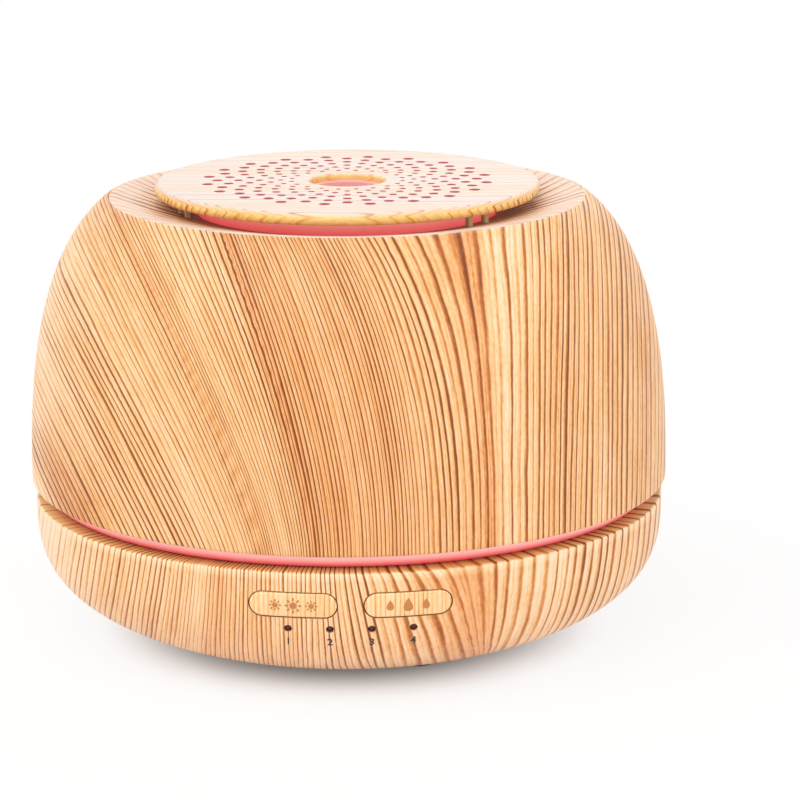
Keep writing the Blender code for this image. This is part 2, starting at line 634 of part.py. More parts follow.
def make_water_tank():
    """Translucent tank: bowl, lit ring, collar, air tower, and the bosses under its floor."""
    ring_low = RIM_Z + GAP
    ring_half = (RING_TOP_Z - ring_low) / 2
    bowl_inner = BOWL_RADIUS - TANK_WALL
    collar_inner = COLLAR_RADIUS - TANK_WALL
    step_z = RIM_Z - TANK_WALL
    neck = LEDGE_INNER - 2 * GAP
    floor_radius = BOWL_RADIUS - BOWL_CORNER
    corner = BOWL_CORNER - TANK_WALL
    profile = [(collar_inner, COLLAR_TOP_Z), (COLLAR_RADIUS, COLLAR_TOP_Z), (COLLAR_RADIUS, RING_TOP_Z)]
    profile += arc((RING_RADIUS - ring_half, ring_low + ring_half), (ring_half, ring_half), 90, -90, 4)
    profile += [(neck, ring_low), (BOWL_RADIUS + TANK_WALL / 2, step_z), (BOWL_RADIUS, step_z - TANK_WALL)]
    profile += arc((floor_radius, FLOOR_Z + BOWL_CORNER), (BOWL_CORNER, BOWL_CORNER), 0, -90, 2)
    profile += [(SONIC_HOLE, FLOOR_Z), (SONIC_HOLE, FLOOR_TOP_Z)]
    profile += arc((floor_radius, FLOOR_TOP_Z + corner), (corner, corner), -90, 0, 2)
    profile += [
        (bowl_inner, step_z),
        (bowl_inner + TANK_WALL, step_z + TANK_WALL),
        (collar_inner, ring_low + TANK_WALL),
    ]
    tank = turned("water_tank", profile, TRANSLUCENT, sides=SIDES_INNER)

    tower_x = FAN_X + TOWER_SHIFT
    tower_top = COLLAR_TOP_Z + TOWER_RISE
    roof_z = tower_top - TANK_WALL
    low = FLOOR_Z + TANK_FLOOR / 2
    outer = (TOWER_DEPTH + 2 * TANK_WALL, TOWER_WIDTH + 2 * TANK_WALL, tower_top - low)
    tower = block("tower", outer, (tower_x, FAN_Y, (tower_top + low) / 2), radius=2 * TANK_WALL)
    fuse(tank, tower)
    low = FLOOR_Z - TANK_FLOOR
    bore = (TOWER_DEPTH, TOWER_WIDTH, roof_z - low)
    cut(tank, block("tower bore", bore, (tower_x, FAN_Y, (roof_z + low) / 2), radius=TANK_WALL))
    window = (TOWER_DEPTH, TOWER_WIDTH - 2 * TANK_WALL, WINDOW_HEIGHT)
    window_at = (tower_x - TOWER_DEPTH, FAN_Y, roof_z - TANK_WALL - WINDOW_HEIGHT / 2)
    cut(tank, block("tower window", window, window_at))

    top = FLOOR_Z + TANK_FLOOR / 2
    bosses, holes = [], []
    stubs = [(spot, SEAM_Z, BOSS_RADIUS, LARGE_SCREW[2], LARGE_GRIP) for spot in corner_bosses()]
    stubs += [(spot, seal_z(), SMALL_BOSS, SMALL_SCREW[2], SMALL_GRIP) for spot in clamp_bosses()]
    stubs += [(spot, lamp_board_z() + GAP, SMALL_BOSS, SMALL_SCREW[2], SMALL_GRIP) for spot in lamp_bosses()]
    stubs += [(spot, FAN_TOP_Z + GAP, SMALL_BOSS, SMALL_SCREW[2], SMALL_GRIP) for spot in fan_bosses()]
    for spot, foot, radius, shank, grip in stubs:
        start = spot + Vector((0, 0, foot))
        bosses.append((start, spot + Vector((0, 0, top)), radius))
        holes.append((start - Vector((0, 0, WALL)), start + Vector((0, 0, grip + GAP)), shank + GAP))
    fuse(tank, rods("tank boss", bosses))
    cut(tank, rods("tank boss hole", holes))


def make_lower_shell():
    """Bowl with a ledge under the lit ring, and openings for the buttons, indicators and power inlet."""
    levels = bowl_levels()
    profile = [(LEDGE_INNER, RIM_Z)]
    profile += arc((BASE_RADIUS - BASE_EDGE, BASE_WIDEST_Z), (BASE_EDGE, BASE_EDGE), 90, 0, 2)
    profile += [(base_radius_at(z), z) for z in levels[1:] + [SEAM_Z]]
    profile += [(LIP_INNER, SEAM_Z), (LIP_INNER, levels[-1])]
    profile += [(base_radius_at(z, WALL), z) for z in reversed(levels)]
    profile += [(BASE_RADIUS - WALL, RIM_Z - WALL), (LEDGE_INNER, RIM_Z - WALL)]
    shell = turned("lower_shell", profile, WOOD)

    bosses, holes = [], []
    for spot in control_bosses():
        bosses.append((spot - Vector((0, GAP, 0)), spot - Vector((0, PANEL_DEPTH, 0)), SMALL_BOSS))
        holes.append((spot + Vector((0, WALL, 0)), spot - Vector((0, SMALL_GRIP + GAP, 0)), SMALL_SCREW[2] + GAP))
    stubs = rods("control boss", bosses)
    trim(stubs, wall_band("boss limit", WALL / 2, PANEL_DEPTH + WALL))
    fuse(shell, stubs)
    cut(shell, rods("control boss hole", holes))

    opening = (BUTTON_WIDTH + 2 * GAP, 2 * PANEL_DEPTH, BUTTON_HEIGHT + 2 * GAP)
    for side in (-1, 1):
        at = (side * BUTTON_X, -BASE_RADIUS, BUTTON_Z)
        cut(shell, block("button opening", opening, at, radius=PILL_END * opening[2], axis=1, segments=4))
    spans = []
    for x in indicator_places():
        spans.append(((x, -BASE_RADIUS - WALL, INDICATOR_Z), (x, PANEL_Y, INDICATOR_Z), INDICATOR_RADIUS))
    cut(shell, rods("indicator hole", spans))
    back = ((0, BASE_RADIUS / 2, jack_z()), (0, BASE_RADIUS + WALL, jack_z()), JACK_NOSE + 2 * GAP)
    cut(shell, rods("inlet hole", [back], sides=SIDES_MEDIUM))


def bowl_levels():
    """Heights that the bowl's curve is drawn through, from its widest line down to the inside of its lip."""
    return spread(BASE_WIDEST_Z, SEAM_Z + WALL, BOWL_STEPS)


def wall_band(name, inset, depth):
    """Turned band of a radial depth behind a surface set in from the bowl's side, over the panel's height."""
    levels = [RIM_Z + WALL] + bowl_levels()
    profile = [(base_radius_at(z, inset), z) for z in levels]
    profile += [(base_radius_at(z, inset) - depth, z) for z in reversed(levels)]
    return turned(name, profile)


def control_bosses():
    """Where the three bosses inside the front wall meet the control board."""
    low_z = INDICATOR_Z - CONTROL_SCREW_DROP
    high_z = BUTTON_Z + BUTTON_HEIGHT / 2
    places = ((-CONTROL_SCREW_X, low_z), (CONTROL_SCREW_X, low_z), (0.0, high_z))
    return [Vector((x, PANEL_Y, z)) for x, z in places]


def indicator_places():
    middle = (INDICATOR_COUNT - 1) / 2
    return [(i - middle) * INDICATOR_PITCH for i in range(INDICATOR_COUNT)]


def jack_z():
    """Axis of the power inlet, which stands on the main board."""
    return MAIN_BOARD_TOP_Z + GAP + JACK_WIDTH / 2


def make_bottom_plate():
    """Plate that closes the bowl: intake slots under the fan, posts for the main board, sunk screws and feet."""
    profile = [(0.0, PLATE_TOP_Z)]
    profile += [(base_radius_at(z), z) for z in spread(PLATE_TOP_Z, FOOT_HEIGHT, 2)]
    profile.append((0.0, FOOT_HEIGHT))
    plate = turned("bottom_plate", profile, TAN, closed=False)

    posts, holes = [], []
    for spot in board_posts():
        low = spot + Vector((0, 0, FOOT_HEIGHT + PLATE_THICKNESS / 2))
        high = spot + Vector((0, 0, MAIN_BOARD_Z - GAP))
        posts.append((low, high, MAIN_BOARD_POST))
        hole_low = high - Vector((0, 0, SMALL_GRIP + GAP))
        holes.append((hole_low, high + Vector((0, 0, WALL)), SMALL_SCREW[2] + GAP))
    fuse(plate, rods("board post", posts))
    cut(plate, rods("board post hole", holes))

    middle = (GRILLE_SLOTS - 1) / 2
    for i in range(GRILLE_SLOTS):
        offset = (i - middle) * GRILLE_PITCH
        length = 2 * math.sqrt(GRILLE_RADIUS**2 - offset**2)
        at = (FAN_X - GRILLE_SHIFT + offset, FAN_Y, FOOT_HEIGHT)
        size = (GRILLE_SLOT, length, 4 * PLATE_THICKNESS)
        cut(plate, block("intake slot", size, at, radius=GRILLE_EDGE, segments=1))

    head_radius, head_height, shank = LARGE_SCREW
    head_z = FOOT_HEIGHT + head_height
    sinks, shanks = [], []
    for spot in corner_bosses():
        sinks.append((spot, spot + Vector((0, 0, head_z + GAP)), head_radius + GAP))
        shanks.append((spot, spot + Vector((0, 0, SEAM_Z + PLATE_THICKNESS)), shank + GAP))
    cut(plate, rods("screw sink", sinks), rods("screw hole", shanks))
    for number, spot in enumerate(corner_bosses(), 1):
        seat = spot + Vector((0, 0, head_z))
        screw(f"bottom_screw_{number}", LARGE_SCREW, seat, (0, 0, 1), SEAM_Z - head_z + LARGE_GRIP)

    foot_top = FOOT_HEIGHT + FOOT_SINK
    foot_circle = base_radius_at(FOOT_HEIGHT) - FOOT_INSET
    spots = [around(foot_circle, FOOT_TURN + 90.0 * i) for i in range(4)]
    pockets = [(spot, spot + Vector((0, 0, foot_top + GAP)), FOOT_RADIUS + GAP) for spot in spots]
    cut(plate, rods("foot pocket", pockets, sides=SIDES_MEDIUM))
    edge = FOOT_HEIGHT / 4
    profile = [(0, foot_top), (FOOT_RADIUS, foot_top), (FOOT_RADIUS, edge), (FOOT_RADIUS - edge, 0), (0, 0)]
    for number, spot in enumerate(spots, 1):
        turned(f"foot_{number}", profile, RUBBER, closed=False, sides=SIDES_MEDIUM, at=spot)


def make_transducer():
    """Ultrasonic disc in a grooved silicone seal, held up to the tank's floor by a clamp ring."""
    top = FLOOR_Z - GAP
    low = seal_z()
    groove = SONIC_RADIUS + GAP
    seal = [
        (SEAL_BORE, top),
        (SEAL_RADIUS, top),
        (SEAL_RADIUS, low),
        (SEAL_BORE, low),
        (SEAL_BORE, low + SEAL_LIP),
        (groove, low + SEAL_LIP),
        (groove, top - SEAL_LIP),
        (SEAL_BORE, top - SEAL_LIP),
    ]
    turned("transducer_seal", seal, SILICONE, sides=SIDES_MEDIUM)
    disc_low = low + SEAL_LIP + GAP
    disc_top = disc_low + SONIC_THICKNESS
    disc = [(0, disc_top), (SONIC_RADIUS, disc_top), (SONIC_RADIUS, disc_low), (0, disc_low)]
    turned("transducer_disc", disc, STEEL, closed=False, sides=SIDES_MEDIUM)
    clamp_top = low - GAP
    clamp_low = clamp_top - CLAMP_THICKNESS
    ring = [
        (CLAMP_BORE, clamp_top),
        (CLAMP_RADIUS, clamp_top),
        (CLAMP_RADIUS, clamp_low),
        (CLAMP_BORE, clamp_low),
    ]
    clamp = turned("transducer_clamp", ring, STEEL, sides=SIDES_MEDIUM)
    fasten_from_below("clamp_screw", clamp, clamp_bosses(), clamp_low, CLAMP_THICKNESS)


def fasten_from_below(name, piece, spots, underside, thickness):
    """Drills a flat piece at each spot and puts a small screw up through it."""
    reach = Vector((0, 0, 2 * thickness))
    holes = []
    for number, spot in enumerate(spots, 1):
        face = spot + Vector((0, 0, underside))
        holes.append((face - reach, face + reach, SMALL_SCREW[2] + GAP))
        seat = face - Vector((0, 0, GAP))
        screw(f"{name}_{number}", SMALL_SCREW, seat, (0, 0, 1), thickness + GAP + SMALL_GRIP)
    cut(piece, rods(f"{name} hole", holes))


def make_lamp_ring():
    """Ring board with six lamps that shine up through the tank."""
    top = lamp_board_z()
    low = top - LAMP_BOARD_THICKNESS
    ring = [(LAMP_BOARD_INNER, top), (LAMP_BOARD_OUTER, top), (LAMP_BOARD_OUTER, low), (LAMP_BOARD_INNER, low)]
    board = turned("led_board", ring, BOARD, sides=SIDES_INNER)
    fasten_from_below("led_screw", board, lamp_bosses(), low, LAMP_BOARD_THICKNESS)
    middle = (LAMP_BOARD_INNER + LAMP_BOARD_OUTER) / 2
    for number in range(LAMP_COUNT):
        degrees = 360.0 * number / LAMP_COUNT
        at = around(middle, degrees, top + GAP + LAMP_HEIGHT / 2)
        lamp = block(f"led_{number + 1}", (LAMP_SIZE, LAMP_SIZE, LAMP_HEIGHT), at, WHITE)
        lamp.rotation_euler.z = math.radians(degrees)


def make_fan():
    """Axial fan: square frame with an axle on three arms, a bladed rotor, and a gasket up to the tank."""
    centre = Vector((FAN_X, FAN_Y, 0))
    middle_z = FAN_Z + FAN_HEIGHT / 2
    size = (FAN_SIZE, FAN_SIZE, FAN_HEIGHT)
    frame = block("fan_frame", size, (FAN_X, FAN_Y, middle_z), BLACK, radius=FAN_HOLE_INSET)
    up = Vector((0, 0, FAN_HEIGHT))
    low = centre + Vector((0, 0, FAN_Z))
    cut(frame, rods("fan bore", [(low - up, low + 2 * up, FAN_BORE)], sides=SIDES_INNER))
    fuse(frame, rods("fan motor seat", [(low, low + Vector((0, 0, FAN_ARM)), FAN_HUB)], sides=SIDES_MEDIUM))
    arm_start = FAN_HUB / 2
    arm_end = FAN_BORE + FAN_WALL / 2
    for i in range(3):
        arm = block("fan arm", (arm_end - arm_start, 2 * FAN_ARM, FAN_ARM - GAP), (0, 0, 0))
        turn = 90.0 + 120.0 * i
        arm.location = low + around((arm_start + arm_end) / 2, turn, FAN_ARM / 2)
        arm.rotation_euler.z = math.radians(turn)
        fuse(frame, arm)
    axle_top = low + Vector((0, 0, FAN_HEIGHT / 2))
    fuse(frame, rods("fan axle", [(low + Vector((0, 0, FAN_ARM / 2)), axle_top, FAN_AXLE)]))

    hub_low = FAN_ARM + GAP
    hub_top = FAN_HEIGHT - 2 * GAP
    bore = FAN_AXLE + GAP
    bore_top = FAN_HEIGHT / 2 + GAP
    edge = FAN_ARM / 2
    profile = [
        (0, hub_top),
        (FAN_HUB - edge, hub_top),
        (FAN_HUB, hub_top - edge),
        (FAN_HUB, hub_low),
        (bore, hub_low),
        (bore, bore_top),
        (0, bore_top),
    ]
    rotor = turned("fan_rotor", profile, BLACK, closed=False, sides=SIDES_MEDIUM, at=low)
    root = FAN_HUB - FAN_BLADE_ROOT
    blade_size = (FAN_BLADE_TIP - root, FAN_BLADE_CHORD, FAN_BLADE_THICKNESS)
    for i in range(FAN_BLADES):
        turn = Matrix.Rotation(2 * math.pi * i / FAN_BLADES, 4, "Z")
        tilt = Matrix.Rotation(math.radians(FAN_BLADE_PITCH), 4, "X")
        blade = block("fan blade", blade_size, (0, 0, 0))
        out = Vector(((FAN_BLADE_TIP + root) / 2, 0, (hub_low + hub_top) / 2))
        blade.matrix_world = Matrix.Translation(low) @ turn @ Matrix.Translation(out) @ tilt
        fuse(rotor, blade)

    top = FLOOR_Z - GAP
    outer = FAN_BORE + GAP
    inner = outer - GASKET_WIDTH
    ring = [(inner, top), (outer, top), (outer, top - GASKET_HEIGHT), (inner, top - GASKET_HEIGHT)]
    gasket = turned("fan_gasket", ring, RUBBER, sides=SIDES_MEDIUM, at=centre)
    reliefs = [(spot, spot + Vector((0, 0, FLOOR_TOP_Z)), SMALL_BOSS + GAP) for spot in fan_bosses()]
    cut(gasket, rods("gasket relief", reliefs))
    fasten_from_below("fan_screw", frame, fan_bosses(), FAN_Z, FAN_HEIGHT)


def main_board_half():
    """Half the main board's width, which fits between two of the tank's bosses."""
    return corner_bosses()[0].x - BOSS_RADIUS - MAIN_BOARD_PLAY


def main_board_back():
    """The main board's back edge, whose corners clear the bowl's inner side."""
    reach = base_radius_at(MAIN_BOARD_Z, WALL) - INNER_PLAY
    return math.sqrt(reach**2 - main_board_half() ** 2)


def board_posts():
    x = main_board_half() - POST_INSET
    front = main_board_back() - MAIN_BOARD_LENGTH + POST_INSET
    return [Vector((side * x, front + step * POST_STEP, 0)) for side in (-1, 1) for step in (0, 1)]


def make_main_board():
    """Driver board on the bottom plate's posts, with the parts that drive the transducer, and the inlet."""
    half, back = main_board_half(), main_board_back()
    front = back - MAIN_BOARD_LENGTH
    middle_z = MAIN_BOARD_Z + BOARD_THICKNESS / 2
    at = (0, (front + back) / 2, middle_z)
    board = block("main_board", (2 * half, MAIN_BOARD_LENGTH, BOARD_THICKNESS), at, BOARD, radius=WALL)
    jack_front = base_radius_at(jack_z() - JACK_WIDTH / 2, WALL) - INNER_PLAY
    tongue_back = base_radius_at(MAIN_BOARD_Z, WALL) - INNER_PLAY
    tongue = (JACK_WIDTH + WALL, tongue_back - back + WALL, BOARD_THICKNESS - GAP)
    fuse(board, block("board tongue", tongue, (0, (tongue_back + back - WALL) / 2, middle_z)))

    top = MAIN_BOARD_TOP_Z
    reach = Vector((0, 0, 2 * BOARD_THICKNESS))
    posts = board_posts()
    spans = [(spot + Vector((0, 0, top)) - reach, spot + Vector((0, 0, top)) + reach) for spot in posts]
    cut(board, rods("board hole", [(low, high, SMALL_SCREW[2] + GAP) for low, high in spans]))
    for number, spot in enumerate((posts[1], posts[2]), 1):
        seat = spot + Vector((0, 0, top + GAP))
        screw(f"board_screw_{number}", SMALL_SCREW, seat, (0, 0, -1), BOARD_THICKNESS + SMALL_GRIP)

    size = (JACK_WIDTH, JACK_LENGTH, JACK_WIDTH)
    jack = block("dc_jack", size, (0, jack_front - JACK_LENGTH / 2, jack_z()), BLACK, radius=JACK_EDGE, axis=1)
    nose_end = base_radius_at(jack_z() - JACK_NOSE) - 2 * GAP
    axis_at = Vector((0, 0, jack_z()))
    nose = [(axis_at + Vector((0, jack_front - WALL, 0)), axis_at + Vector((0, nose_end, 0)), JACK_NOSE)]
    fuse(jack, rods("jack nose", nose, sides=SIDES_MEDIUM))
    bore_end = axis_at + Vector((0, nose_end - JACK_DEPTH, 0))
    bore = [(bore_end, axis_at + Vector((0, nose_end + WALL, 0)), JACK_BORE)]
    cut(jack, rods("jack bore", bore, sides=SIDES_MEDIUM))
    pin = [(bore_end - Vector((0, WALL, 0)), axis_at + Vector((0, nose_end - WALL, 0)), JACK_PIN)]
    fuse(jack, rods("jack pin", pin))

    seat = top + GAP
    row_y = front + COMPONENT_ROW
    can_x = -half + POST_INSET + COMPONENT_STEP
    profile = [
        (0, CAN_HEIGHT),
        (CAN_RADIUS - CAN_EDGE, CAN_HEIGHT),
        (CAN_RADIUS, CAN_HEIGHT - CAN_EDGE),
        (CAN_RADIUS, 0),
        (0, 0),
    ]
    turned("capacitor", profile, BLACK, closed=False, sides=SIDES_MEDIUM, at=(can_x, row_y, seat))
    profile = [
        (0, COIL_HEIGHT),
        (COIL_FLANGE, COIL_HEIGHT),
        (COIL_FLANGE, COIL_HEIGHT - COIL_CHEEK),
        (COIL_CORE, COIL_HEIGHT - COIL_CHEEK),
        (COIL_CORE, COIL_CHEEK),
        (COIL_FLANGE, COIL_CHEEK),
        (COIL_FLANGE, 0),
        (0, 0),
    ]
    coil_at = (can_x + COMPONENT_STEP, row_y, seat)
    turned("inductor", profile, BLACK, closed=False, sides=SIDES_MEDIUM, at=coil_at)
    depth, width, height = SINK_SIZE
    sink_at = Vector((half - SINK_INSET, front + SINK_ROW, seat + height / 2))
    heat_sink = block("heat_sink", SINK_SIZE, sink_at, ALUMINIUM)
    for i in (-1, 0, 1):
        slot = (depth, SINK_SLOT, 2 * height)
        cut(heat_sink, block("sink slot", slot, sink_at + Vector((SINK_BACK, i * SINK_PITCH, 0))))
    shift = (depth + DRIVER_SIZE[0]) / 2 + GAP
    driver_at = sink_at + Vector((-shift, 0, (DRIVER_SIZE[2] - height) / 2))
    block("driver_transistor", DRIVER_SIZE, driver_at, BLACK, radius=DRIVER_EDGE, axis=0)


def make_control_panel():
    """Control board behind the front wall, with its switches, light guide and receiver, and the two buttons."""
    low = INDICATOR_Z - CONTROL_FOOT
    high = RIM_Z - WALL - CONTROL_HEADROOM
    at = (0, PANEL_Y + BOARD_THICKNESS / 2, (low + high) / 2)
    size = (CONTROL_WIDTH, BOARD_THICKNESS, high - low)
    board = block("control_board", size, at, BOARD, radius=WALL / 2, axis=1)
    trim(board, wall_band("control board limit", WALL + 2 * GAP, PANEL_DEPTH + WALL))
    holes = []
    for number, spot in enumerate(control_bosses(), 1):
        reach = Vector((0, 2 * BOARD_THICKNESS, 0))
        holes.append((spot - reach, spot + reach, SMALL_SCREW[2] + GAP))
        seat = spot + Vector((0, BOARD_THICKNESS + GAP, 0))
        screw(f"control_screw_{number}", SMALL_SCREW, seat, (0, -1, 0), BOARD_THICKNESS + SMALL_GRIP)
    cut(board, rods("control board hole", holes))

    face = PANEL_Y - GAP
    at = (0, face - GUIDE_THICKNESS / 2, INDICATOR_Z)
    guide = block("indicator_light_guide", (GUIDE_LENGTH, GUIDE_THICKNESS, GUIDE_HEIGHT), at, TRANSLUCENT)
    spans = []
    for x in indicator_places():
        front = INDICATOR_RECESS - math.sqrt(base_radius_at(INDICATOR_Z) ** 2 - x**2)
        start = (x, face - GUIDE_THICKNESS / 2, INDICATOR_Z)
        spans.append((start, (x, front, INDICATOR_Z), INDICATOR_RADIUS - GAP))
    fuse(guide, rods("light guide pins", spans))
    at = (0, face - RECEIVER_SIZE[1] / 2, BUTTON_Z - RECEIVER_SIZE[2] / 2)
    block("ir_receiver", RECEIVER_SIZE, at, BLACK, radius=RECEIVER_EDGE)

    for side, name in ((-1, "light"), (1, "mist")):
        make_button(name, side * BUTTON_X)


def make_button(name, x):
    """Pill button with a retaining flange inside the wall, over a tactile switch with its plunger."""
    face = PANEL_Y - GAP
    front = face - SWITCH_DEPTH
    plunger_front = front - PLUNGER_REACH
    plunger_back = plunger_front + PLUNGER_LENGTH
    axis_at = Vector((x, 0, BUTTON_Z))
    size = (SWITCH_SIZE, SWITCH_DEPTH, SWITCH_SIZE)
    body = block(f"{name}_switch", size, (x, (face + front) / 2, BUTTON_Z), BLACK)
    well = [
        (
            axis_at + Vector((0, front - WALL, 0)),
            axis_at + Vector((0, plunger_back + 3 * GAP, 0)),
            PLUNGER_RADIUS + GAP,
        )
    ]
    cut(body, rods(f"{name} switch well", well))
    at = Vector((x, plunger_front, BUTTON_Z))
    rods(f"{name}_plunger", [((0, 0, 0), (0, PLUNGER_LENGTH, 0), PLUNGER_RADIUS)], WHITE, at=at)

    inside = WALL + GAP
    at = (x, -BASE_RADIUS, BUTTON_Z)
    size = (BUTTON_WIDTH, 2 * PANEL_DEPTH, BUTTON_HEIGHT)
    button = block(f"{name}_button", size, at, PALE_WOOD, radius=PILL_END * BUTTON_HEIGHT, axis=1, segments=4)
    trim(button, wall_band(f"{name} cap", -BUTTON_PROUD, BUTTON_PROUD + inside + BUTTON_FLANGE / 2))
    wide = (BUTTON_WIDTH + 2 * BUTTON_FLANGE, 2 * PANEL_DEPTH, BUTTON_HEIGHT + 2 * BUTTON_FLANGE)
    flange = block(f"{name} flange", wide, at, radius=PILL_END * wide[2], axis=1, segments=4)
    fuse(button, trim(flange, wall_band(f"{name} flange band", inside, BUTTON_FLANGE)))
    flange_y = -math.sqrt((base_radius_at(BUTTON_Z) - inside - BUTTON_FLANGE / 2) ** 2 - x**2)
    post = (axis_at + Vector((0, flange_y, 0)), axis_at + Vector((0, plunger_front - GAP, 0)), BUTTON_POST)
    fuse(button, rods(f"{name} post", [post]))


def empty(name):
    holder = bpy.data.objects.new(name, None)
    PARTS.objects.link(holder)
    return holder


def settle_parts():
    """Applies each part's modifiers, shades it smooth between sharp edges, and hangs it on the base or cover."""
    base, cover = empty("base"), empty("cover")
    view = bpy.context.evaluated_depsgraph_get()
    parts = [obj for obj in PARTS.objects if obj.type == "MESH"]
    meshes = [bpy.data.meshes.new_from_object(part.evaluated_get(view)) for part in parts]
    for part, mesh in zip(parts, meshes):
        part.modifiers.clear()
        part.data = mesh
        mesh.shade_smooth()
        mesh.set_sharp_from_angle(angle=math.radians(SHARP_ANGLE))
        part.parent = cover if part.name.startswith(COVER_PARTS) else base


make_upper_shell()
make_mist_shade()
make_vent_disc()
make_water_tank()
make_lower_shell()
make_bottom_plate()
make_transducer()
make_lamp_ring()
make_fan()
make_main_board()
make_control_panel()
settle_parts()
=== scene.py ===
import math

import bmesh
import bpy
import numpy as np
from mathutils import Matrix, Vector


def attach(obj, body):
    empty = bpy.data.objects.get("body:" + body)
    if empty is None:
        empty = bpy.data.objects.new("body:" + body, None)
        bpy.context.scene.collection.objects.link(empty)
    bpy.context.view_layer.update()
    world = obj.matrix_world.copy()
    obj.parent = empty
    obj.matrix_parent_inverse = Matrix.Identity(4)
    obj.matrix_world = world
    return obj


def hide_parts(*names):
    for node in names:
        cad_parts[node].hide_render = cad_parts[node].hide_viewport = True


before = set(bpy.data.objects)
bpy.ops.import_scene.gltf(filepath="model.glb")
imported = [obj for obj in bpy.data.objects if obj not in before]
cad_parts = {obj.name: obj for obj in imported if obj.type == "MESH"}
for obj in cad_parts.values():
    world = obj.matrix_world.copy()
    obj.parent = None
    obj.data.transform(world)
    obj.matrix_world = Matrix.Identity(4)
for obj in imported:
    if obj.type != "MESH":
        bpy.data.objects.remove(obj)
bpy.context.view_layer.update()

MM = 0.001

# Studio: a plain pale floor under large soft lamps, and a long lens that looks down on the front
# from about 0.85 m. The floor turns white for the camera and keeps the object's shadow.
CAMERA_AT = (0.0, -812.55 * MM, 258.6 * MM)
CAMERA_DOWN = math.radians(13.689)
CAMERA_TURN = math.radians(0.9547)
CAMERA_ROLL = math.radians(-0.243)
CAMERA_LENS = 141.77
FLOOR_SIZE = 12.0
FLOOR_WHITE = (0.13, 0.88)  # share of plain white under the object and away from it
FLOOR_FADE = (0.042, 0.070)
FLOOR_TINT = (0.98, 0.93, 0.91)
FLOOR_TONE = (0.93, 0.96)  # darkest and palest paint in its faint clouds
SKY_TINT = (0.95, 0.97, 1.0, 1.0)
SKY_POWER = 0.34
WHITE = (1.0, 1.0, 1.0, 1.0)
LAMPS = (  # name, where it stands, power, and how wide it looks in degrees
    ("key", (-0.25, -0.55, 1.0), 1.86, 60.0),
    ("front", (-0.35, -1.0, 0.25), 0.26, 50.0),
    ("fill", (0.8, -0.7, 0.3), 0.65, 50.0),
    ("left", (-1.0, 0.1, 0.75), 0.6, 50.0),
    ("right", (1.0, 0.1, 0.75), 0.45, 50.0),
    ("back", (0.2, 1.0, 0.6), 0.4, 50.0),
)


def add_node(tree, kind, inputs=None, **settings):
    """Adds a shader node, sets its options, and links or sets its inputs by name or number."""
    node = tree.nodes.new(kind)
    for key, value in settings.items():
        setattr(node, key, value)
    for key, value in (inputs or {}).items():
        if isinstance(value, bpy.types.NodeSocket):
            tree.links.new(value, node.inputs[key])
        else:
            node.inputs[key].default_value = value
    return node


def calc(tree, operation, a, b=0.0, c=0.0, clamp=False):
    """Socket of a math node on up to three values."""
    node = add_node(tree, "ShaderNodeMath", {0: a, 1: b, 2: c}, operation=operation, use_clamp=clamp)
    return node.outputs[0]


def step(tree, value, low, high, to_low=0.0, to_high=1.0):
    """Smooth step from one value to another while the input goes from low to high."""
    inputs = {0: value, 1: low, 2: high, 3: to_low, 4: to_high}
    node = add_node(tree, "ShaderNodeMapRange", inputs, interpolation_type="SMOOTHSTEP")
    return node.outputs[0]


def cloudy(tree, where, scale, detail=2.0):
    """Socket of a noise from 0 to 1."""
    values = {"Vector": where, "Scale": scale, "Detail": detail}
    return add_node(tree, "ShaderNodeTexNoise", values).outputs[0]


def new_material(name):
    """Empty material, and its tree of nodes."""
    material = bpy.data.materials.new(name)
    material.use_nodes = True
    material.node_tree.nodes.clear()
    return material, material.node_tree


def seen_directly(tree):
    """1 for rays from the camera and those that a mirror or glass passes on, and else 0."""
    path = add_node(tree, "ShaderNodeLightPath")
    seen = calc(tree, "ADD", path.outputs["Is Camera Ray"], path.outputs["Is Glossy Ray"])
    return calc(tree, "ADD", seen, path.outputs["Is Transmission Ray"], clamp=True)


def studio_floor():
    """Square at z = 0, painted above and clear from below, that fades to white away from the object."""
    material, tree = new_material("studio_floor")
    where = add_node(tree, "ShaderNodeTexCoord").outputs["Object"]
    tone = step(tree, cloudy(tree, where, 3.0), 0.0, 1.0, *FLOOR_TONE)
    tints = {number: calc(tree, "MULTIPLY", tone, tint) for number, tint in enumerate(FLOOR_TINT)}
    paint = add_node(tree, "ShaderNodeCombineColor", tints)
    matt = add_node(tree, "ShaderNodeBsdfDiffuse", {"Color": paint.outputs[0]})
    white = add_node(tree, "ShaderNodeEmission", {"Color": WHITE, "Strength": 1.0})
    away = add_node(tree, "ShaderNodeVectorMath", {0: where}, operation="LENGTH").outputs["Value"]
    share = calc(tree, "MULTIPLY", seen_directly(tree), step(tree, away, *FLOOR_FADE, *FLOOR_WHITE))
    mixed = add_node(tree, "ShaderNodeMixShader", {0: share, 1: matt.outputs[0], 2: white.outputs[0]})
    below = add_node(tree, "ShaderNodeNewGeometry").outputs["Backfacing"]
    clear = add_node(tree, "ShaderNodeBsdfTransparent")
    one_sided = add_node(tree, "ShaderNodeMixShader", {0: below, 1: mixed.outputs[0], 2: clear.outputs[0]})
    add_node(tree, "ShaderNodeOutputMaterial", {0: one_sided.outputs[0]})
    half = FLOOR_SIZE / 2
    mesh = bpy.data.meshes.new("studio_floor")
    corners = [(-half, -half, 0), (half, -half, 0), (half, half, 0), (-half, half, 0)]
    mesh.from_pydata(corners, [], [(0, 1, 2, 3)])
    mesh.materials.append(material)
    floor = bpy.data.objects.new("studio_floor", mesh)
    bpy.context.scene.collection.objects.link(floor)


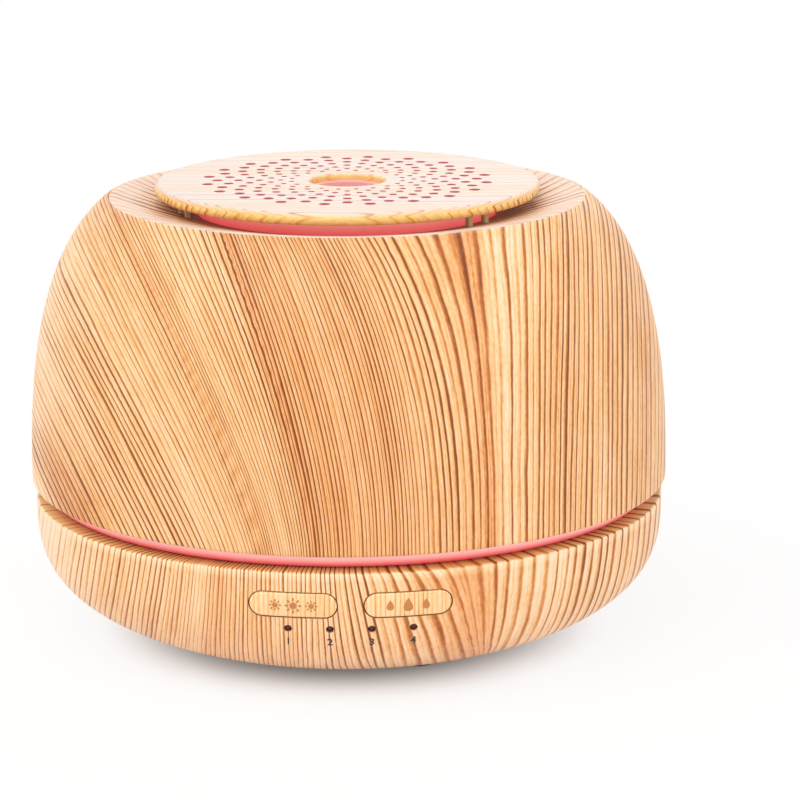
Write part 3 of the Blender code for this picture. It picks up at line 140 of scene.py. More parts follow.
def studio_light():
    """A dim even sky that looks white to the camera, and the lamps, each turned to the object."""
    world = bpy.data.worlds.new("studio")
    bpy.context.scene.world = world
    world.use_nodes = True
    tree = world.node_tree
    tree.nodes.clear()
    dim = add_node(tree, "ShaderNodeBackground", {"Color": SKY_TINT, "Strength": SKY_POWER})
    white = add_node(tree, "ShaderNodeBackground", {"Color": WHITE, "Strength": 1.0})
    sky = {0: seen_directly(tree), 1: dim.outputs[0], 2: white.outputs[0]}
    mixed = add_node(tree, "ShaderNodeMixShader", sky)
    add_node(tree, "ShaderNodeOutputWorld", {0: mixed.outputs[0]})
    for name, towards, power, spread in LAMPS:
        lamp = bpy.data.lights.new(name, "SUN")
        lamp.energy = power
        lamp.angle = math.radians(spread)
        holder = bpy.data.objects.new(name, lamp)
        bpy.context.scene.collection.objects.link(holder)
        holder.location = towards
        holder.rotation_euler = Vector(towards).to_track_quat("Z", "Y").to_euler()


def studio_camera():
    """Looks along the front's middle line, turned a little to the right, tilted down and rolled."""
    down, turn, roll = CAMERA_DOWN, CAMERA_TURN, CAMERA_ROLL
    ahead = np.array([math.sin(turn) * math.cos(down), math.cos(turn) * math.cos(down), -math.sin(down)])
    right = np.array([math.cos(turn), -math.sin(turn), 0.0])
    up = np.cross(right, ahead)
    level = right * math.cos(roll) + up * math.sin(roll)
    upright = up * math.cos(roll) - right * math.sin(roll)
    lens = bpy.data.cameras.new("camera")
    lens.sensor_width = 36.0
    lens.lens = CAMERA_LENS
    camera = bpy.data.objects.new("camera", lens)
    bpy.context.scene.collection.objects.link(camera)
    camera.location = CAMERA_AT
    camera.rotation_euler = Matrix(np.column_stack([level, upright, -ahead]).tolist()).to_euler()
    bpy.context.scene.camera = camera


studio_floor()
studio_light()
studio_camera()
bpy.context.scene.view_settings.view_transform = "Standard"


# Bottom plate: a thin moulded plate in plain tan plastic that closes the base from below, with air slots
# under the fan, pockets for the feet and sunk places for its four screws.
FLOOR_GAP = 2.0  # plate above the table, in mm as all sizes from here on
PLATE_TOP = 4.3
BASE_RADIUS = 83.0
BASE_WIDEST_Z = 36.2
BASE_REACH = 39.1
SCREW_CIRCLE = 44.75
FOOT_CIRCLE = 40.1
FOOT_TURN = 25.0
FOOT_RADIUS = 5.0
FAN_AT = (38.0, -5.0)
SLOT_OFFSETS = (-8.0, -4.0, 0.0, 4.0, 8.0)
SLOT_REACH = 12.0
SLOT_WIDTH = 2.2
SLOT_SHIFT = -2.0  # middle of the slots from the fan's axis, along X
PLATE_HOLE = 2.0
GROOVE = (34.0, 36.0)  # radii of a shallow groove that stiffens the plate
GROOVE_DEPTH = 0.4
SCREW_WELL = 2.9
WELL_TOP = 3.2
POCKET_TOP = 2.9
FIT = 0.3  # gap round what sits in a hole
CUT_LOW = 1.0  # cuts in the plate start below it
COLUMNS = 240
SHARP_EDGE = math.radians(32.0)


def bowl_radius(z, inset=0.0):
    """Radius of the base's side at a height, by its superellipse, or of a surface set in from it."""
    drop = np.clip((BASE_WIDEST_Z - np.asarray(z, float)) / (BASE_REACH - inset), 0.0, 1.0)
    return (BASE_RADIUS - inset) * np.sqrt(1.0 - drop**2.9)


def line(start, end, count):
    """Points of a straight run in a profile, from start up to but not including end."""
    share = np.linspace(0.0, 1.0, count, endpoint=False)[:, None]
    return np.array(start) + share * (np.array(end) - np.array(start))


def bend(first, corner, last, count):
    """Points of a rounded corner: the quadratic curve that leaves first and reaches last, without last."""
    t = np.linspace(0.0, 1.0, count, endpoint=False)[:, None]
    return (1 - t) ** 2 * np.array(first) + 2 * t * (1 - t) * np.array(corner) + t**2 * np.array(last)


def turn_profile(profile, columns, at=(0.0, 0.0)):
    """Grid of a profile of (radius, z) carried round a vertical axis, from the back over the left."""
    angle = np.linspace(-np.pi, np.pi, columns, endpoint=False)
    radius, z = np.asarray(profile, float).T[:, :, None]
    x = at[0] + radius * np.sin(angle)
    y = at[1] - radius * np.cos(angle)
    return np.stack([x, y, z + 0 * angle], -1)


def lattice(rows, columns, closed):
    """Row and column numbers of each cell's four corners. Columns go round, and closed rows do too."""
    row, column = np.arange(rows if closed else rows - 1), np.arange(columns)
    row, column = [part.ravel() for part in np.meshgrid(row, column, indexing="ij")]
    return np.stack([row, row, row + 1, row + 1], -1), np.stack([column, column + 1, column + 1, column], -1)


def skin(name, points, closed=False, maps=None, finish=None):
    """Mesh of a grid whose columns go round: closed rows too, or flat caps at both ends.

    maps gives UV maps by name, each a grid with one more row and column than a closed grid has points,
    so that its seam can be split, or one such grid for each finish. finish gives a material number for
    each row of cells."""
    rows, columns = points.shape[:2]
    row, column = lattice(rows, columns, closed)
    quads = (row % rows) * columns + column % columns
    faces = quads.tolist()
    if not closed:
        faces.append(list(range(columns - 1, -1, -1)))
        faces.append(list(range((rows - 1) * columns, rows * columns)))
    mesh = bpy.data.meshes.new(name)
    mesh.from_pydata((points.reshape(-1, 3) * MM).tolist(), [], faces)
    for label, grid in (maps or {}).items():
        layer = mesh.uv_layers.new(name=label)
        values = np.zeros((len(mesh.loops), 2), np.float32)
        picked = grid[row, column] if grid.ndim == 3 else grid[np.asarray(finish)[row[:, :1]], row, column]
        values[: quads.size] = picked.reshape(-1, 2)
        layer.data.foreach_set("uv", values.ravel())
    if finish is not None:
        numbers = np.zeros(len(mesh.polygons), np.int32)
        numbers[: len(quads)] = np.asarray(finish)[row[:, 0]]
        mesh.polygons.foreach_set("material_index", numbers)
    tidy(mesh)
    return mesh


def tidy(mesh):
    """Merges what meets at seams and poles, and turns the faces outwards."""
    work = bmesh.new()
    work.from_mesh(mesh)
    bmesh.ops.remove_doubles(work, verts=work.verts, dist=2e-7)
    bmesh.ops.dissolve_degenerate(work, edges=work.edges, dist=1e-8)
    bmesh.ops.recalc_face_normals(work, faces=work.faces)
    work.to_mesh(mesh)
    work.free()


def loose(mesh):
    """Unnamed helper object that a Boolean uses and that is removed afterwards."""
    helper = bpy.data.objects.new("helper", mesh)
    bpy.context.scene.collection.objects.link(helper)
    return helper


def carve(mesh, cutters=(), joined=()):
    """Mesh with others joined to it and then others cut out of it, by exact Booleans."""
    target = loose(mesh)
    helpers = [(loose(other), "UNION") for other in joined]
    helpers += [(loose(other), "DIFFERENCE") for other in cutters]
    for helper, operation in helpers:
        work = target.modifiers.new(operation, "BOOLEAN")
        work.operation = operation
        work.solver = "EXACT"
        work.object = helper
    view = bpy.context.evaluated_depsgraph_get()
    result = bpy.data.meshes.new_from_object(target.evaluated_get(view))
    for helper in [target] + [helper for helper, operation in helpers]:
        bpy.data.objects.remove(helper, do_unlink=True)
    return result


def place(name, mesh, body, materials, nodes=()):
    """Finished piece: smooth between sharp edges, with its materials, on a body in place of CAD nodes."""
    mesh.name = name
    numbers = np.zeros(len(mesh.polygons), np.int32)
    mesh.polygons.foreach_get("material_index", numbers)
    mesh.materials.clear()
    for material in materials:
        mesh.materials.append(material)
    mesh.polygons.foreach_set("material_index", np.minimum(numbers, len(materials) - 1))
    mesh.shade_smooth()
    mesh.set_sharp_from_angle(angle=SHARP_EDGE)
    piece = bpy.data.objects.new(name, mesh)
    bpy.context.scene.collection.objects.link(piece)
    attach(piece, body)
    if nodes:
        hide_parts(*nodes)


def drum(radius, low, high, at, columns=32):
    """Round bar that stands between two heights."""
    return skin("drum", turn_profile([(radius, low), (radius, high)], columns, at))


def upright(outline, low, high):
    """Bar of an outline in X and Y that stands between two heights."""
    x, y = outline
    return skin("bar", np.array([np.stack([x, y, 0 * x + z], -1) for z in (low, high)]))


def upright_slot(width, length, low, high, at):
    """Upright bar of a slot's outline, which lies along Y and is round at both ends."""
    t = np.linspace(0.0, 2 * np.pi, 32, endpoint=False)
    x = at[0] + width / 2 * np.cos(t)
    y = at[1] + width / 2 * np.sin(t) + np.sign(np.sin(t) + 1e-9) * (length - width) / 2
    return upright((x, y), low, high)


def circle_spots(radius, start):
    """Four points on a circle, the first at an angle from +X in degrees."""
    turns = np.radians(start + 90.0 * np.arange(4))
    return np.column_stack([radius * np.cos(turns), radius * np.sin(turns)])


def node_group(name, inputs, outputs):
    """New shader group with float or colour sockets: names with default values in, names out."""
    tree = bpy.data.node_groups.new(name, "ShaderNodeTree")
    for label, value in inputs.items():
        kind = "NodeSocketColor" if isinstance(value, tuple) else "NodeSocketFloat"
        tree.interface.new_socket(label, in_out="INPUT", socket_type=kind).default_value = value
    for label, kind in outputs.items():
        tree.interface.new_socket(label, in_out="OUTPUT", socket_type=kind)
    return tree, tree.nodes.new("NodeGroupInput").outputs, tree.nodes.new("NodeGroupOutput").inputs


SURFACE = {"Colour": "NodeSocketColor", "Roughness": "NodeSocketFloat", "Height": "NodeSocketFloat"}


def blend(tree, share, first, second, way="MIX"):
    """Socket of a colour between two by a share, or of one multiplied by the other."""
    inputs = {0: share, 6: first, 7: second}
    return add_node(tree, "ShaderNodeMix", inputs, data_type="RGBA", blend_type=way).outputs[2]


def relief(tree, height, strength, distance=0.0002):
    """Socket of the normal of a surface with a fine relief, its depth in metres."""
    inputs = {"Strength": strength, "Distance": distance, "Height": height}
    return add_node(tree, "ShaderNodeBump", inputs).outputs[0]


def finish_surface(tree, shader):
    """Principled shader with these inputs, joined to the material's output."""
    surface = add_node(tree, "ShaderNodeBsdfPrincipled", shader)
    add_node(tree, "ShaderNodeOutputMaterial", {0: surface.outputs[0]})


def moulding_group():
    """Moulded surface from Object coordinates: cloudy tone, fine speckle and a mould's sparked texture."""
    grey = (0.5, 0.5, 0.5, 1.0)
    inputs = {"Colour": grey, "Cloud": 0.08, "Speckle": 0.05, "Roughness": 0.5}
    tree, given, out = node_group("moulded_surface", inputs, SURFACE)
    where = add_node(tree, "ShaderNodeTexCoord").outputs["Object"]
    cloud = cloudy(tree, where, 90.0, 3.0)
    fine = cloudy(tree, where, 3200.0)
    shade = calc(tree, "MULTIPLY_ADD", calc(tree, "SUBTRACT", cloud, 0.5), given["Cloud"], 1.0)
    shade = calc(tree, "MULTIPLY_ADD", calc(tree, "SUBTRACT", fine, 0.5), given["Speckle"], shade)
    tint = add_node(tree, "ShaderNodeCombineColor", {0: shade, 1: shade, 2: shade}).outputs[0]
    tree.links.new(blend(tree, 1.0, given["Colour"], tint, "MULTIPLY"), out["Colour"])
    rough = calc(tree, "MULTIPLY_ADD", calc(tree, "SUBTRACT", cloud, 0.5), 0.25, given["Roughness"])
    rough = calc(tree, "MULTIPLY_ADD", calc(tree, "SUBTRACT", fine, 0.5), 0.12, rough)
    tree.links.new(rough, out["Roughness"])
    tree.links.new(fine, out["Height"])
    return tree


MOULDING = moulding_group()


def srgb(red, green, blue):
    """Linear colour of a screen colour from 0 to 255."""
    parts = np.array([red, green, blue]) / 255.0
    linear = np.where(parts <= 0.04045, parts / 12.92, ((parts + 0.055) / 1.055) ** 2.4)
    return (*linear.tolist(), 1.0)


def moulded(name, colour, rough, cloud=0.10, speckle=0.06, bump=0.15, metal=0.0):
    """Material of a moulded or stamped piece."""
    material, tree = new_material(name)
    inputs = {"Colour": colour, "Cloud": cloud, "Speckle": speckle, "Roughness": rough}
    surface = add_node(tree, "ShaderNodeGroup", inputs, node_tree=MOULDING)
    shader = {
        "Base Color": surface.outputs["Colour"],
        "Roughness": surface.outputs["Roughness"],
        "Normal": relief(tree, surface.outputs["Height"], bump),
        "Metallic": metal,
    }
    finish_surface(tree, shader)
    return material


TAN_PLASTIC = moulded("tan_plastic", srgb(206, 168, 120), 0.5, bump=0.3)
screw_spots = circle_spots(SCREW_CIRCLE, 45.0)
foot_spots = circle_spots(FOOT_CIRCLE, FOOT_TURN)
side = np.linspace(FLOOR_GAP + 0.25, PLATE_TOP, 8)
edge = bowl_radius(FLOOR_GAP)
groove_z = FLOOR_GAP + GROOVE_DEPTH
plate_profile = np.vstack([
    [(PLATE_HOLE, FLOOR_GAP)],
    line((6.0, FLOOR_GAP), (GROOVE[0], FLOOR_GAP), 2),
    [(GROOVE[0], FLOOR_GAP), (GROOVE[0] + GROOVE_DEPTH, groove_z)],
    [(GROOVE[1] - GROOVE_DEPTH, groove_z), (GROOVE[1], FLOOR_GAP)],
    bend((edge - 1.0, FLOOR_GAP), (edge, FLOOR_GAP), (bowl_radius(side[0]), side[0]), 4),
    np.column_stack([bowl_radius(side), side]),
    [(50.0, PLATE_TOP), (PLATE_HOLE, PLATE_TOP)],
])
plate_cuts = [drum(SCREW_WELL, CUT_LOW, WELL_TOP, spot) for spot in screw_spots]
plate_cuts += [drum(FOOT_RADIUS + FIT, CUT_LOW, POCKET_TOP, spot) for spot in foot_spots]
for offset in SLOT_OFFSETS:
    length = 2 * math.sqrt(SLOT_REACH**2 - offset**2)
    slot_at = (FAN_AT[0] + SLOT_SHIFT + offset, FAN_AT[1])
    plate_cuts.append(upright_slot(SLOT_WIDTH, length, CUT_LOW, 6.0, slot_at))
plate_mesh = carve(skin("plate", turn_profile(plate_profile, COLUMNS)), plate_cuts)
place("bottom_cover_plate", plate_mesh, "base", [TAN_PLASTIC], ["bottom_plate"])


# Feet: four soft rubber pads glued into the plate's pockets, each with a rounded edge and a shallow ring.
FOOT_TOP = 2.6
FOOT_HOLLOW = 0.25
FOOT_EDGE = 0.7
RUBBER = moulded("foot_rubber", srgb(58, 54, 50), 0.8, cloud=0.2, bump=0.4)
foot_profile = np.vstack([
    [(1.2, FOOT_HOLLOW), (2.6, FOOT_HOLLOW), (3.0, 0.0), (4.2, 0.0)],
    bend((FOOT_RADIUS - FOOT_EDGE, 0.0), (FOOT_RADIUS, 0.0), (FOOT_RADIUS, FOOT_EDGE), 5),
    [(FOOT_RADIUS, FOOT_EDGE), (FOOT_RADIUS, FOOT_TOP), (1.2, FOOT_TOP)],
])
for number, spot in enumerate(foot_spots, 1):
    foot_mesh = skin("foot", turn_profile(foot_profile, 48, spot))
    place(f"rubber_foot_{number}", foot_mesh, "base", [RUBBER], [f"foot_{number}"])


# Bottom screws: round-headed steel screws with a cross recess, turned up into the tank's bosses.
STEEL = moulded("screw_steel", srgb(196, 196, 200), 0.32, cloud=0.12, speckle=0.1, bump=0.08, metal=1.0)
SCREW_TIP = 13.6
HEAD_RADIUS = 2.6
HEAD_TOP = 2.9
SHANK_RADIUS = 1.3
RECESS = (0.55, 3.0, 1.6, 2.5)  # width, length and heights of each slot of the cross
screw_profile = np.vstack([
    [(0.6, 2.0), (1.9, 2.05)],
    bend((2.0, 2.07), (HEAD_RADIUS, 2.2), (HEAD_RADIUS, 2.6), 4),
    [(HEAD_RADIUS, HEAD_TOP), (SHANK_RADIUS, HEAD_TOP), (SHANK_RADIUS, SCREW_TIP - 1.0), (0.3, SCREW_TIP)],
])
for number, spot in enumerate(screw_spots, 1):
    across = upright_slot(*RECESS, spot)
    turned_slot = upright_slot(*RECESS, (0.0, 0.0))
    quarter = Matrix.Rotation(math.pi / 2, 4, "Z")
    turned_slot.transform(Matrix.Translation((spot[0] * MM, spot[1] * MM, 0)) @ quarter)
    screw_mesh = carve(skin("screw", turn_profile(screw_profile, 32, spot)), [across, turned_slot])
    place(f"cross_screw_{number}", screw_mesh, "base", [STEEL], [f"bottom_screw_{number}"])


# Electronics: green boards with copper tracks under the varnish, black moulded parts, a finned aluminium
# heat sink and small steel screws, all closed in by the base. The CAD solids stay and get their finishes.
def board_varnish():
    """Green varnish over straight copper tracks and round pads, from Object coordinates."""
    material, tree = new_material("board_varnish")
    where = add_node(tree, "ShaderNodeTexCoord").outputs["Object"]
    tracks = add_node(tree, "ShaderNodeTexBrick", {"Vector": where, "Scale": 260.0, "Mortar Size": 0.035})
    pads = add_node(tree, "ShaderNodeTexVoronoi", {"Vector": where, "Scale": 240.0}).outputs["Distance"]
    speck = cloudy(tree, where, 700.0)
    copper = calc(tree, "MAXIMUM", tracks.outputs["Fac"], step(tree, pads, 0.16, 0.12))
    shader = {
        "Base Color": blend(tree, copper, srgb(14, 82, 44), srgb(96, 138, 62)),
        "Roughness": step(tree, speck, 0.2, 0.8, 0.25, 0.45),
        "Normal": relief(tree, copper, 0.3),
    }
    finish_surface(tree, shader)
    return material


BLACK_PLASTIC = moulded("black_plastic", srgb(36, 36, 38), 0.42, cloud=0.25, speckle=0.2)
WHITE_PLASTIC = moulded("white_plastic", srgb(226, 226, 220), 0.4)
SILICONE = moulded("silicone", srgb(206, 208, 212), 0.6, cloud=0.1, bump=0.1)
ALUMINIUM = moulded("aluminium", srgb(206, 207, 210), 0.38, cloud=0.1, speckle=0.15, metal=1.0)
SONIC_STEEL = moulded(
    "transducer_steel", srgb(205, 205, 208), 0.22, cloud=0.15, speckle=0.05, bump=0.03, metal=1.0
)
BOARD = board_varnish()
KEPT = {
    BOARD: ("main_board", "control_board", "led_board"),
    BLACK_PLASTIC: ("fan_frame", "fan_rotor", "inductor", "capacitor", "driver_transistor", "light_switch",
                    "mist_switch", "ir_receiver"),
    WHITE_PLASTIC: ("light_plunger", "mist_plunger", *(f"led_{i}" for i in range(1, 7))),
    RUBBER: ("fan_gasket",),
    SILICONE: ("transducer_seal",),
    SONIC_STEEL: ("transducer_disc", "transducer_clamp"),
    ALUMINIUM: ("heat_sink",),
    STEEL: ("board_screw_1", "board_screw_2", "fan_screw_1", "fan_screw_2",
            *(f"{kind}_screw_{i}" for kind in ("clamp", "led", "control", "shade") for i in (1, 2, 3))),
}


def finish_node(name, material):
    """Gives a CAD node that stays in view its finish."""
    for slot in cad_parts[name].material_slots:
        slot.material = material


for material, names in KEPT.items():
    for name in names:
        finish_node(name, material)


# Power inlet: a black moulded socket on the main board whose round nose reaches through the back of the
# base, with a bright steel pin down the middle of its bore.
JACK_Z = 15.4
JACK_END = 70.15
JACK_RADIUS = 4.2
BORE_RADIUS = 3.2
BORE_END = 60.65
PIN_RADIUS = 1.0
PIN_TIP = 67.95
JACK_BODY = ((-4.5, 50.3, 10.9), (4.5, 64.3, 19.9))
jack_rows = np.array([  # radius and place along Y: the pin, the bore, the rim and the outside
    (0.3, PIN_TIP), (0.8, PIN_TIP - 0.1), (PIN_RADIUS, PIN_TIP - 0.45), (PIN_RADIUS, BORE_END),
    (BORE_RADIUS, BORE_END), (BORE_RADIUS, JACK_END - 0.3), (BORE_RADIUS + 0.25, JACK_END),
    (JACK_RADIUS - 0.3, JACK_END), (JACK_RADIUS, JACK_END - 0.3), (JACK_RADIUS, 64.2), (0.4, 64.0),
])
jack_turn = np.linspace(0.0, 2 * np.pi, 48, endpoint=False)
jack_grid = np.stack([
    jack_rows[:, :1] * np.cos(jack_turn),
    jack_rows[:, 1:] + 0 * jack_turn,
    JACK_Z + jack_rows[:, :1] * np.sin(jack_turn),
], -1)
jack_finish = [1] * 3 + [0] * 7  # steel for the pin


def rounded(middle, half, corner, count=24):
    """Outline of a rectangle with round corners, by its middle and half sizes."""
    t = np.linspace(0.0, 2 * np.pi, count, endpoint=False) + np.pi / count
    across = middle[0] + np.sign(np.cos(t)) * (half[0] - corner) + corner * np.cos(t)
    up = middle[1] + np.sign(np.sin(t)) * (half[1] - corner) + corner * np.sin(t)
    return across, up


def bar_through(outline, y_low, y_high):
    """Bar of an outline in X and Z that runs from one Y to another."""
    x, z = outline
    rings = [np.stack([x, 0 * x + y, z], -1) for y in (y_low, y_high)]
    return skin("bar", np.array(rings))


def rounded_block(low, high, corner):
    """Bar along Y with rounded corners, between its lowest and highest points."""
    low, high = np.array(low), np.array(high)
    outline = rounded((low + high)[::2] / 2, (high - low)[::2] / 2, corner)
    return bar_through(outline, low[1], high[1])


jack_mesh = skin("jack", jack_grid, finish=jack_finish)
jack_body = rounded_block(*JACK_BODY, 1.0)
place("power_inlet_socket", jack_mesh, "base", [BLACK_PLASTIC, STEEL], ["dc_jack"])
place("power_inlet_body", jack_body, "base", [BLACK_PLASTIC])


# Water tank: one translucent moulding with the bowl, a round bead that shows as the lit ring between base
# and cover, the collar above it, and the air tower. The lamps under its floor make it glow red.
RING_CENTRE = (77.65, 40.55)
RING_ROUND = 2.45
COLLAR_TOP = 62.0
SEAM_Z = 4.6  # where the base's shell meets the bottom plate
TOWER_AT = (42.0, -5.0)
TOWER_TOP = 64.0
TOWER_OUT = (6.1, 10.6)  # half sizes of the tower and of its bore along X and Y
TOWER_IN = (4.5, 9.0)
TOWER_WALL = 1.6
WINDOW = ((25.0, -12.4, 53.8), (42.0, 2.4, 60.8))  # where air leaves the tower over the water
TANK_HOLE = 8.0  # over the transducer
TANK_UNDER = 21.5
TANK_FLOOR = 23.5
CORNER_AT = 58.2
COLLAR_OUT = 71.8
COLLAR_IN = 70.2
BOSS_RADIUS = 3.6
BOSS_TOP = 22.5


def sweep(centre, radius, start, end, count):
    """Points of a circular arc in a profile, angles in degrees, both ends included."""
    t = np.radians(np.linspace(start, end, count))
    return np.column_stack([centre[0] + radius * np.cos(t), centre[1] + radius * np.sin(t)])


def coat(mesh, materials, number=None):
    """Adds materials to a mesh that a Boolean takes part in. A number gives that one to all its faces."""
    for material in materials:
        mesh.materials.append(material)
    if number is not None:
        mesh.polygons.foreach_set("material_index", np.full(len(mesh.polygons), number, np.int32))


def lit_plastic(name, pale, deep, glow, low, high, strength):
    """Milky plastic lit from inside: from deep at a low height to pale at a high one, with cloudy places. On
    the ring and the drum this change with height, in colour and glow, is painted light: pale where light
    falls on the top, deep where the lower part is shaded. On the walls of the vent holes, all of it is
    painted light.
    """
    material, tree = new_material(name)
    where = add_node(tree, "ShaderNodeTexCoord").outputs["Object"]
    height = add_node(tree, "ShaderNodeSeparateXYZ", {0: where}).outputs[2]
    cloud = cloudy(tree, where, 45.0)
    fine = cloudy(tree, where, 2600.0)
    level = step(tree, height, low * MM, high * MM)
    level = calc(tree, "MULTIPLY_ADD", calc(tree, "SUBTRACT", cloud, 0.5), 0.35, level, clamp=True)
    shader = {
        "Base Color": blend(tree, level, deep, pale),
        "Emission Color": blend(tree, level, *glow),
        "Roughness": step(tree, fine, 0.2, 0.8, 0.3, 0.42),
        "Emission Strength": calc(tree, "MULTIPLY", seen_directly(tree), strength),
        "Normal": relief(tree, fine, 0.05),
    }
    finish_surface(tree, shader)
    return material


# The ring's pale top and deep red lower part are painted light: the bead lit from above and shaded beneath.
RING_GLOW = (srgb(244, 84, 92), srgb(240, 150, 152))
RING_LIT_TOP, RING_SHADED_LOW = srgb(250, 204, 200), srgb(222, 76, 84)
TANK_PALE, TANK_DEEP = srgb(238, 200, 204), srgb(232, 160, 168)
LIT_RING = lit_plastic("lit_ring", RING_LIT_TOP, RING_SHADED_LOW, RING_GLOW, 38.2, 41.2, 0.36)
TANK_PLASTIC = lit_plastic("tank_plastic", TANK_PALE, TANK_DEEP, RING_GLOW, 22.0, 62.0, 0.25)
tank_profile = np.vstack([
    line((TANK_HOLE, TANK_UNDER), (CORNER_AT, TANK_UNDER), 6),
    sweep((CORNER_AT, TANK_UNDER + 7.0), 7.0, -90, 0, 12),
    [(65.2, 34.6), (66.0, 36.2), (74.4, 38.1)],
    sweep(RING_CENTRE, RING_ROUND, -90, 90, 28),
    [(COLLAR_OUT + 0.4, 43.0), (COLLAR_OUT, 43.4)],
    line((COLLAR_OUT, 44.0), (COLLAR_OUT, COLLAR_TOP - 0.5), 6),
    sweep((COLLAR_OUT - 0.5, COLLAR_TOP - 0.5), 0.5, 0, 90, 4),
    sweep((COLLAR_IN + 0.5, COLLAR_TOP - 0.5), 0.5, 90, 180, 4),
    line((COLLAR_IN, 60.0), (COLLAR_IN, 39.7), 5),
    [(COLLAR_IN, 39.7), (65.2, 37.8), (63.6, 36.2)],
    sweep((CORNER_AT, TANK_FLOOR + 5.4), 5.4, 0, -90, 12),
    line((57.0, TANK_FLOOR), (TANK_HOLE, TANK_FLOOR), 5),
    [(TANK_HOLE, TANK_FLOOR)],
])


tank_finishes = [LIT_RING, TANK_PLASTIC]
tank_mesh = skin("tank", turn_profile(tank_profile, COLUMNS), closed=True)
tower_bore = upright(rounded(TOWER_AT, TOWER_IN, TOWER_WALL), 19.5, TOWER_TOP - TOWER_WALL)
joined = [upright(rounded(TOWER_AT, TOWER_OUT, 2 * TOWER_WALL), BOSS_TOP, TOWER_TOP)]
joined += [drum(BOSS_RADIUS, SEAM_Z, BOSS_TOP, spot) for spot in screw_spots]
for other in [tank_mesh, tower_bore] + joined:
    coat(other, tank_finishes)
window_mesh = rounded_block(*WINDOW, 0.8)
coat(window_mesh, tank_finishes, 1)
tank_mesh = carve(tank_mesh, [tower_bore, window_mesh], joined)
place("lit_water_tank", tank_mesh, "base", tank_finishes, ["water_tank"])


# Lower shell: the moulded bowl of the base with a printed wood film drawn over it from the front, open for
# the buttons, the four indicators and the power inlet, with a ledge that the lit ring stands on.
RIM_Z = 37.8
WALL = 2.2
LEDGE_OUTER = 81.2
LEDGE_INNER = 75.0
LEDGE_ROWS = 8
RIM_ROUND = 0.6
RIM_ROWS = 9
LIP_INNER = 48.95
FILM_FALL = 33.0  # height over which the base's grain lines run their course
BUTTON_X = 14.0
BUTTON_Z = 29.5
BUTTON_HALF = (10.65, 3.1)
INDICATOR_X = (-15.3, -5.1, 5.1, 15.3)
INDICATOR_Z = 23.1
INDICATOR_HOLE = 0.98
INLET_HOLE = 4.8
BUTTON_CUT = (-90.0, -66.0)  # how far each cut goes through the side, along Y
INDICATOR_CUT = (-90.0, -70.0)
INLET_CUT = (50.0, 90.0)


def ease(value, low, high):
    """Smooth step from 0 to 1."""
    t = np.clip((value - low) / (high - low), 0.0, 1.0)
    return t * t * (3 - 2 * t)


def trace_back(across, shift, power, run, reach=60.0):
    """Start of each point's grain line: halves a range until start - shift(start) * run ** power(start)
    comes to the place across, with shift and power read from tables by start."""
    low, high = across - reach, across + reach
    for _ in range(36):
        middle = (low + high) / 2
        found = middle - np.interp(middle, *shift) * run ** np.interp(middle, *power)
        low = np.where(found < across, middle, low)
        high = np.where(found < across, high, middle)
    return (low + high) / 2


def ring_count(start, widths):
    """Number of growth rings up to a line's start, from a table of ring widths in mm."""
    spots = np.linspace(-190.0, 190.0, 3801)
    counts = np.cumsum(np.diff(spots, prepend=spots[0]) / np.interp(spots, *widths))
    return np.interp(start, spots, counts)


def film_maps(start, along, widths, bold, stain_and_light):
    """UV maps of the film: ring number and length along the grain, and how bold and stained the rings are,
    the stain also carrying painted light where a map asks for it.
    """
    grain = np.stack([ring_count(start, widths), along], -1)
    return {"grain": grain, "grade": np.stack([np.interp(start, *bold), np.interp(start, *stain_and_light)], -1)}


def closed_grid(profile, columns):
    """Radius, z and angle from the front over a closed profile, with the closing row and column repeated."""
    radius, z = np.vstack([profile, profile[:1]]).T[:, :, None]
    angle = np.linspace(-np.pi, np.pi, columns + 1)[None, :]
    return radius, z, angle


WAVERS = (  # how a line wavers: rate across and along the grain, seed and amount in rings
    (0.8, 0.003, 19.0, 0.8),
    (0.16, 0.02, 0.0, 0.8),
    (0.45, 0.07, 3.0, 0.16),
    (1.3, 0.35, 7.0, 0.07),
)
WOOD_SHADES = (  # from the palest early wood to the darkest late wood
    (0.0, srgb(252, 221, 186)),
    (0.18, srgb(246, 203, 154)),
    (0.36, srgb(238, 181, 119)),
    (0.56, srgb(214, 143, 79)),
    (0.78, srgb(177, 104, 49)),
    (1.0, srgb(128, 69, 32)),
)
STAIN_RED = srgb(238, 176, 150)
HONEY = srgb(255, 246, 190)
WASH = srgb(222, 211, 208)


